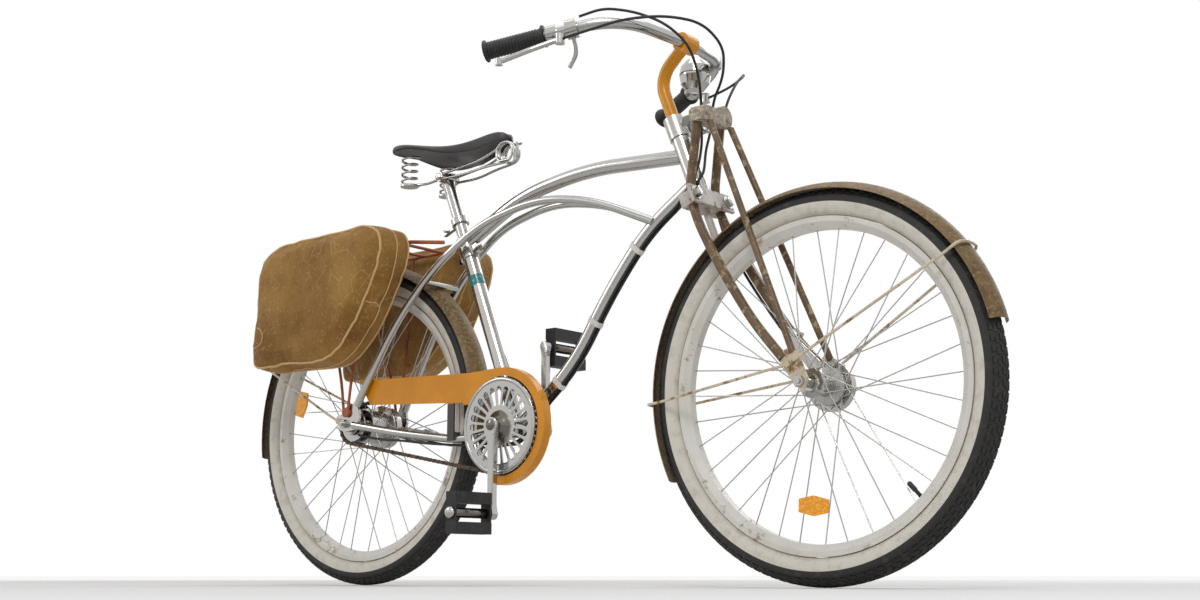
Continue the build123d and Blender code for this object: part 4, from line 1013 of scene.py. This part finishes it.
outline = rounded(bag_outline, 3)
for side, end in ((-1, "right"), (1, "left")):
    vertices = []
    for depth, inset in bag_layers:
        vertices += [at(ahead, up, side * depth) for ahead, up in shrunk(outline, inset)]
    faces = skinned(len(bag_layers), len(outline))
    bag = piece("bag_" + end, vertices, faces, canvas.material, "frame")
    remesh = bag.modifiers.new("even", "REMESH")
    remesh.mode = "VOXEL"
    remesh.voxel_size = voxel
    even = frozen(bag)
    bag.modifiers.clear()
    bag.data = even
    bag.data = swollen(bag)
    bag.data.materials.clear()
    bag.data.materials.append(canvas.material)
    creased_skin(bag.data, abs(at(0, 0, bag_inner_face).y) + face_lift, side)
    skin = BVHTree.FromObject(bag, bpy.context.evaluated_depsgraph_get())
    for row, depth, inset, thickness in cord_rows:
        places = [at(ahead, up, side * depth) for ahead, up in shrunk(outline, inset)]
        laid_cord(f"piping_{row}_{end}", skin, places, thickness, True)
    places = [at(pocket_ahead, pocket_up, side * depth) for depth in pocket_depths]
    laid_cord(f"piping_pocket_{end}", skin, places, pocket_thickness, False)
    if end == "right":
        turns = [math.tau * step / patch_points for step in range(patch_points)]
        rim = [(patch_radius * math.cos(turn), patch_radius * math.sin(turn)) for turn in turns]
        places = [at(patch_ahead + ahead, patch_up + up, side * patch_depth) for ahead, up in rim]
        laid_cord(f"piping_patch_{end}", skin, places, patch_thickness, True)
    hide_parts("pannier_" + end)


# Studio: a pale floor just below the tyres, a white backdrop that only the camera, reflections and
# clear pieces see, and four soft lamps. The floor's own light hides its edge against the backdrop.
floor_size, floor_drop = 60, 0.0005
glow_from, glow_full = 1.2, 6.0
bpy.ops.mesh.primitive_plane_add(size=floor_size, location=(0, 0, at(0, 0).z - floor_drop))
floor = bpy.context.object
floor.name = "floor"
pale_floor = Finish("pale_floor", Roughness=0.8, Base_Color=(0.82, 0.81, 0.80, 1), Emission_Strength=1.0)
ahead, aside = pale_floor.along((1, 0, 0), (0, 0, 0)), pale_floor.along((0, 1, 0), (0, 0, 0))
distance = (ahead * ahead + aside * aside).math("SQRT")
camera_ray = Field(pale_floor, pale_floor.node("ShaderNodeLightPath").outputs["Is Camera Ray"])
glow = camera_ray * distance.step(glow_from, glow_full)
pale_floor.set(Emission_Color=pale_floor.mix(glow, (0.0, 0.0, 0.0), (0.56, 0.56, 0.56)))
floor.data.materials.append(pale_floor.material)

world = bpy.data.worlds.new("studio")
bpy.context.scene.world = world
world.use_nodes = True
sky = world.node_tree
sky.nodes.clear()
backdrop = add_node(sky, "ShaderNodeBackground", {0: (1, 1, 1, 1)})
fill = add_node(sky, "ShaderNodeBackground", {0: (0.95, 0.97, 1.0, 1), 1: 0.34})
rays = add_node(sky, "ShaderNodeLightPath").outputs
seen = rays["Is Camera Ray"]
for ray in ("Is Glossy Ray", "Is Transmission Ray"):
    seen = add_node(sky, "ShaderNodeMath", {0: seen, 1: rays[ray]}, operation="MAXIMUM").outputs[0]
choose = add_node(sky, "ShaderNodeMixShader", {0: seen, 1: fill.outputs[0], 2: backdrop.outputs[0]})
add_node(sky, "ShaderNodeOutputWorld", {0: choose.outputs[0]})
bpy.context.scene.view_settings.view_transform = "Standard"

lamps_aim = Vector((0.3, 0, -0.4))
# (name, place in metres, size in metres, power in watts)
lamp_rows = [
    ("key", (2.4, -2.8, 2.4), 1.2, 60),
    ("side", (-2.8, -2.4, 1.4), 1.6, 26),
    ("top", (0.3, 0.4, 3.0), 2.4, 34),
    ("back", (0.6, 3.2, 1.6), 2.0, 24),
]
for name, place, size, power in lamp_rows:
    lamp = bpy.data.lights.new(name, "AREA")
    lamp.energy = power
    lamp.size = size
    light = added(name, lamp)
    light.location = place
    light.rotation_euler = (lamps_aim - light.location).to_track_quat("-Z", "Y").to_euler()


# Camera: at floor level, ahead of the bicycle on its right, looking a little up. Its place, turn and
# lens were fitted to both wheels, the crank and the frame's middle plane in the photo.
view_azimuth, view_elevation = math.radians(39.81), math.radians(-10.34)
lens, sensor = 45.3, 36.0
camera_lens = bpy.data.cameras.new("camera")
camera_lens.sensor_width = sensor
camera_lens.lens = lens
camera = added("camera", camera_lens)
right = Vector((math.cos(view_azimuth), math.sin(view_azimuth), 0))
level = math.cos(view_elevation)
back = Vector((math.sin(view_azimuth) * level, -math.cos(view_azimuth) * level, math.sin(view_elevation)))
camera.matrix_world = Matrix((right, back.cross(right), back)).transposed().to_4x4()
camera.location = at(2452.1, 20, -2171.5)
bpy.context.scene.camera = camera
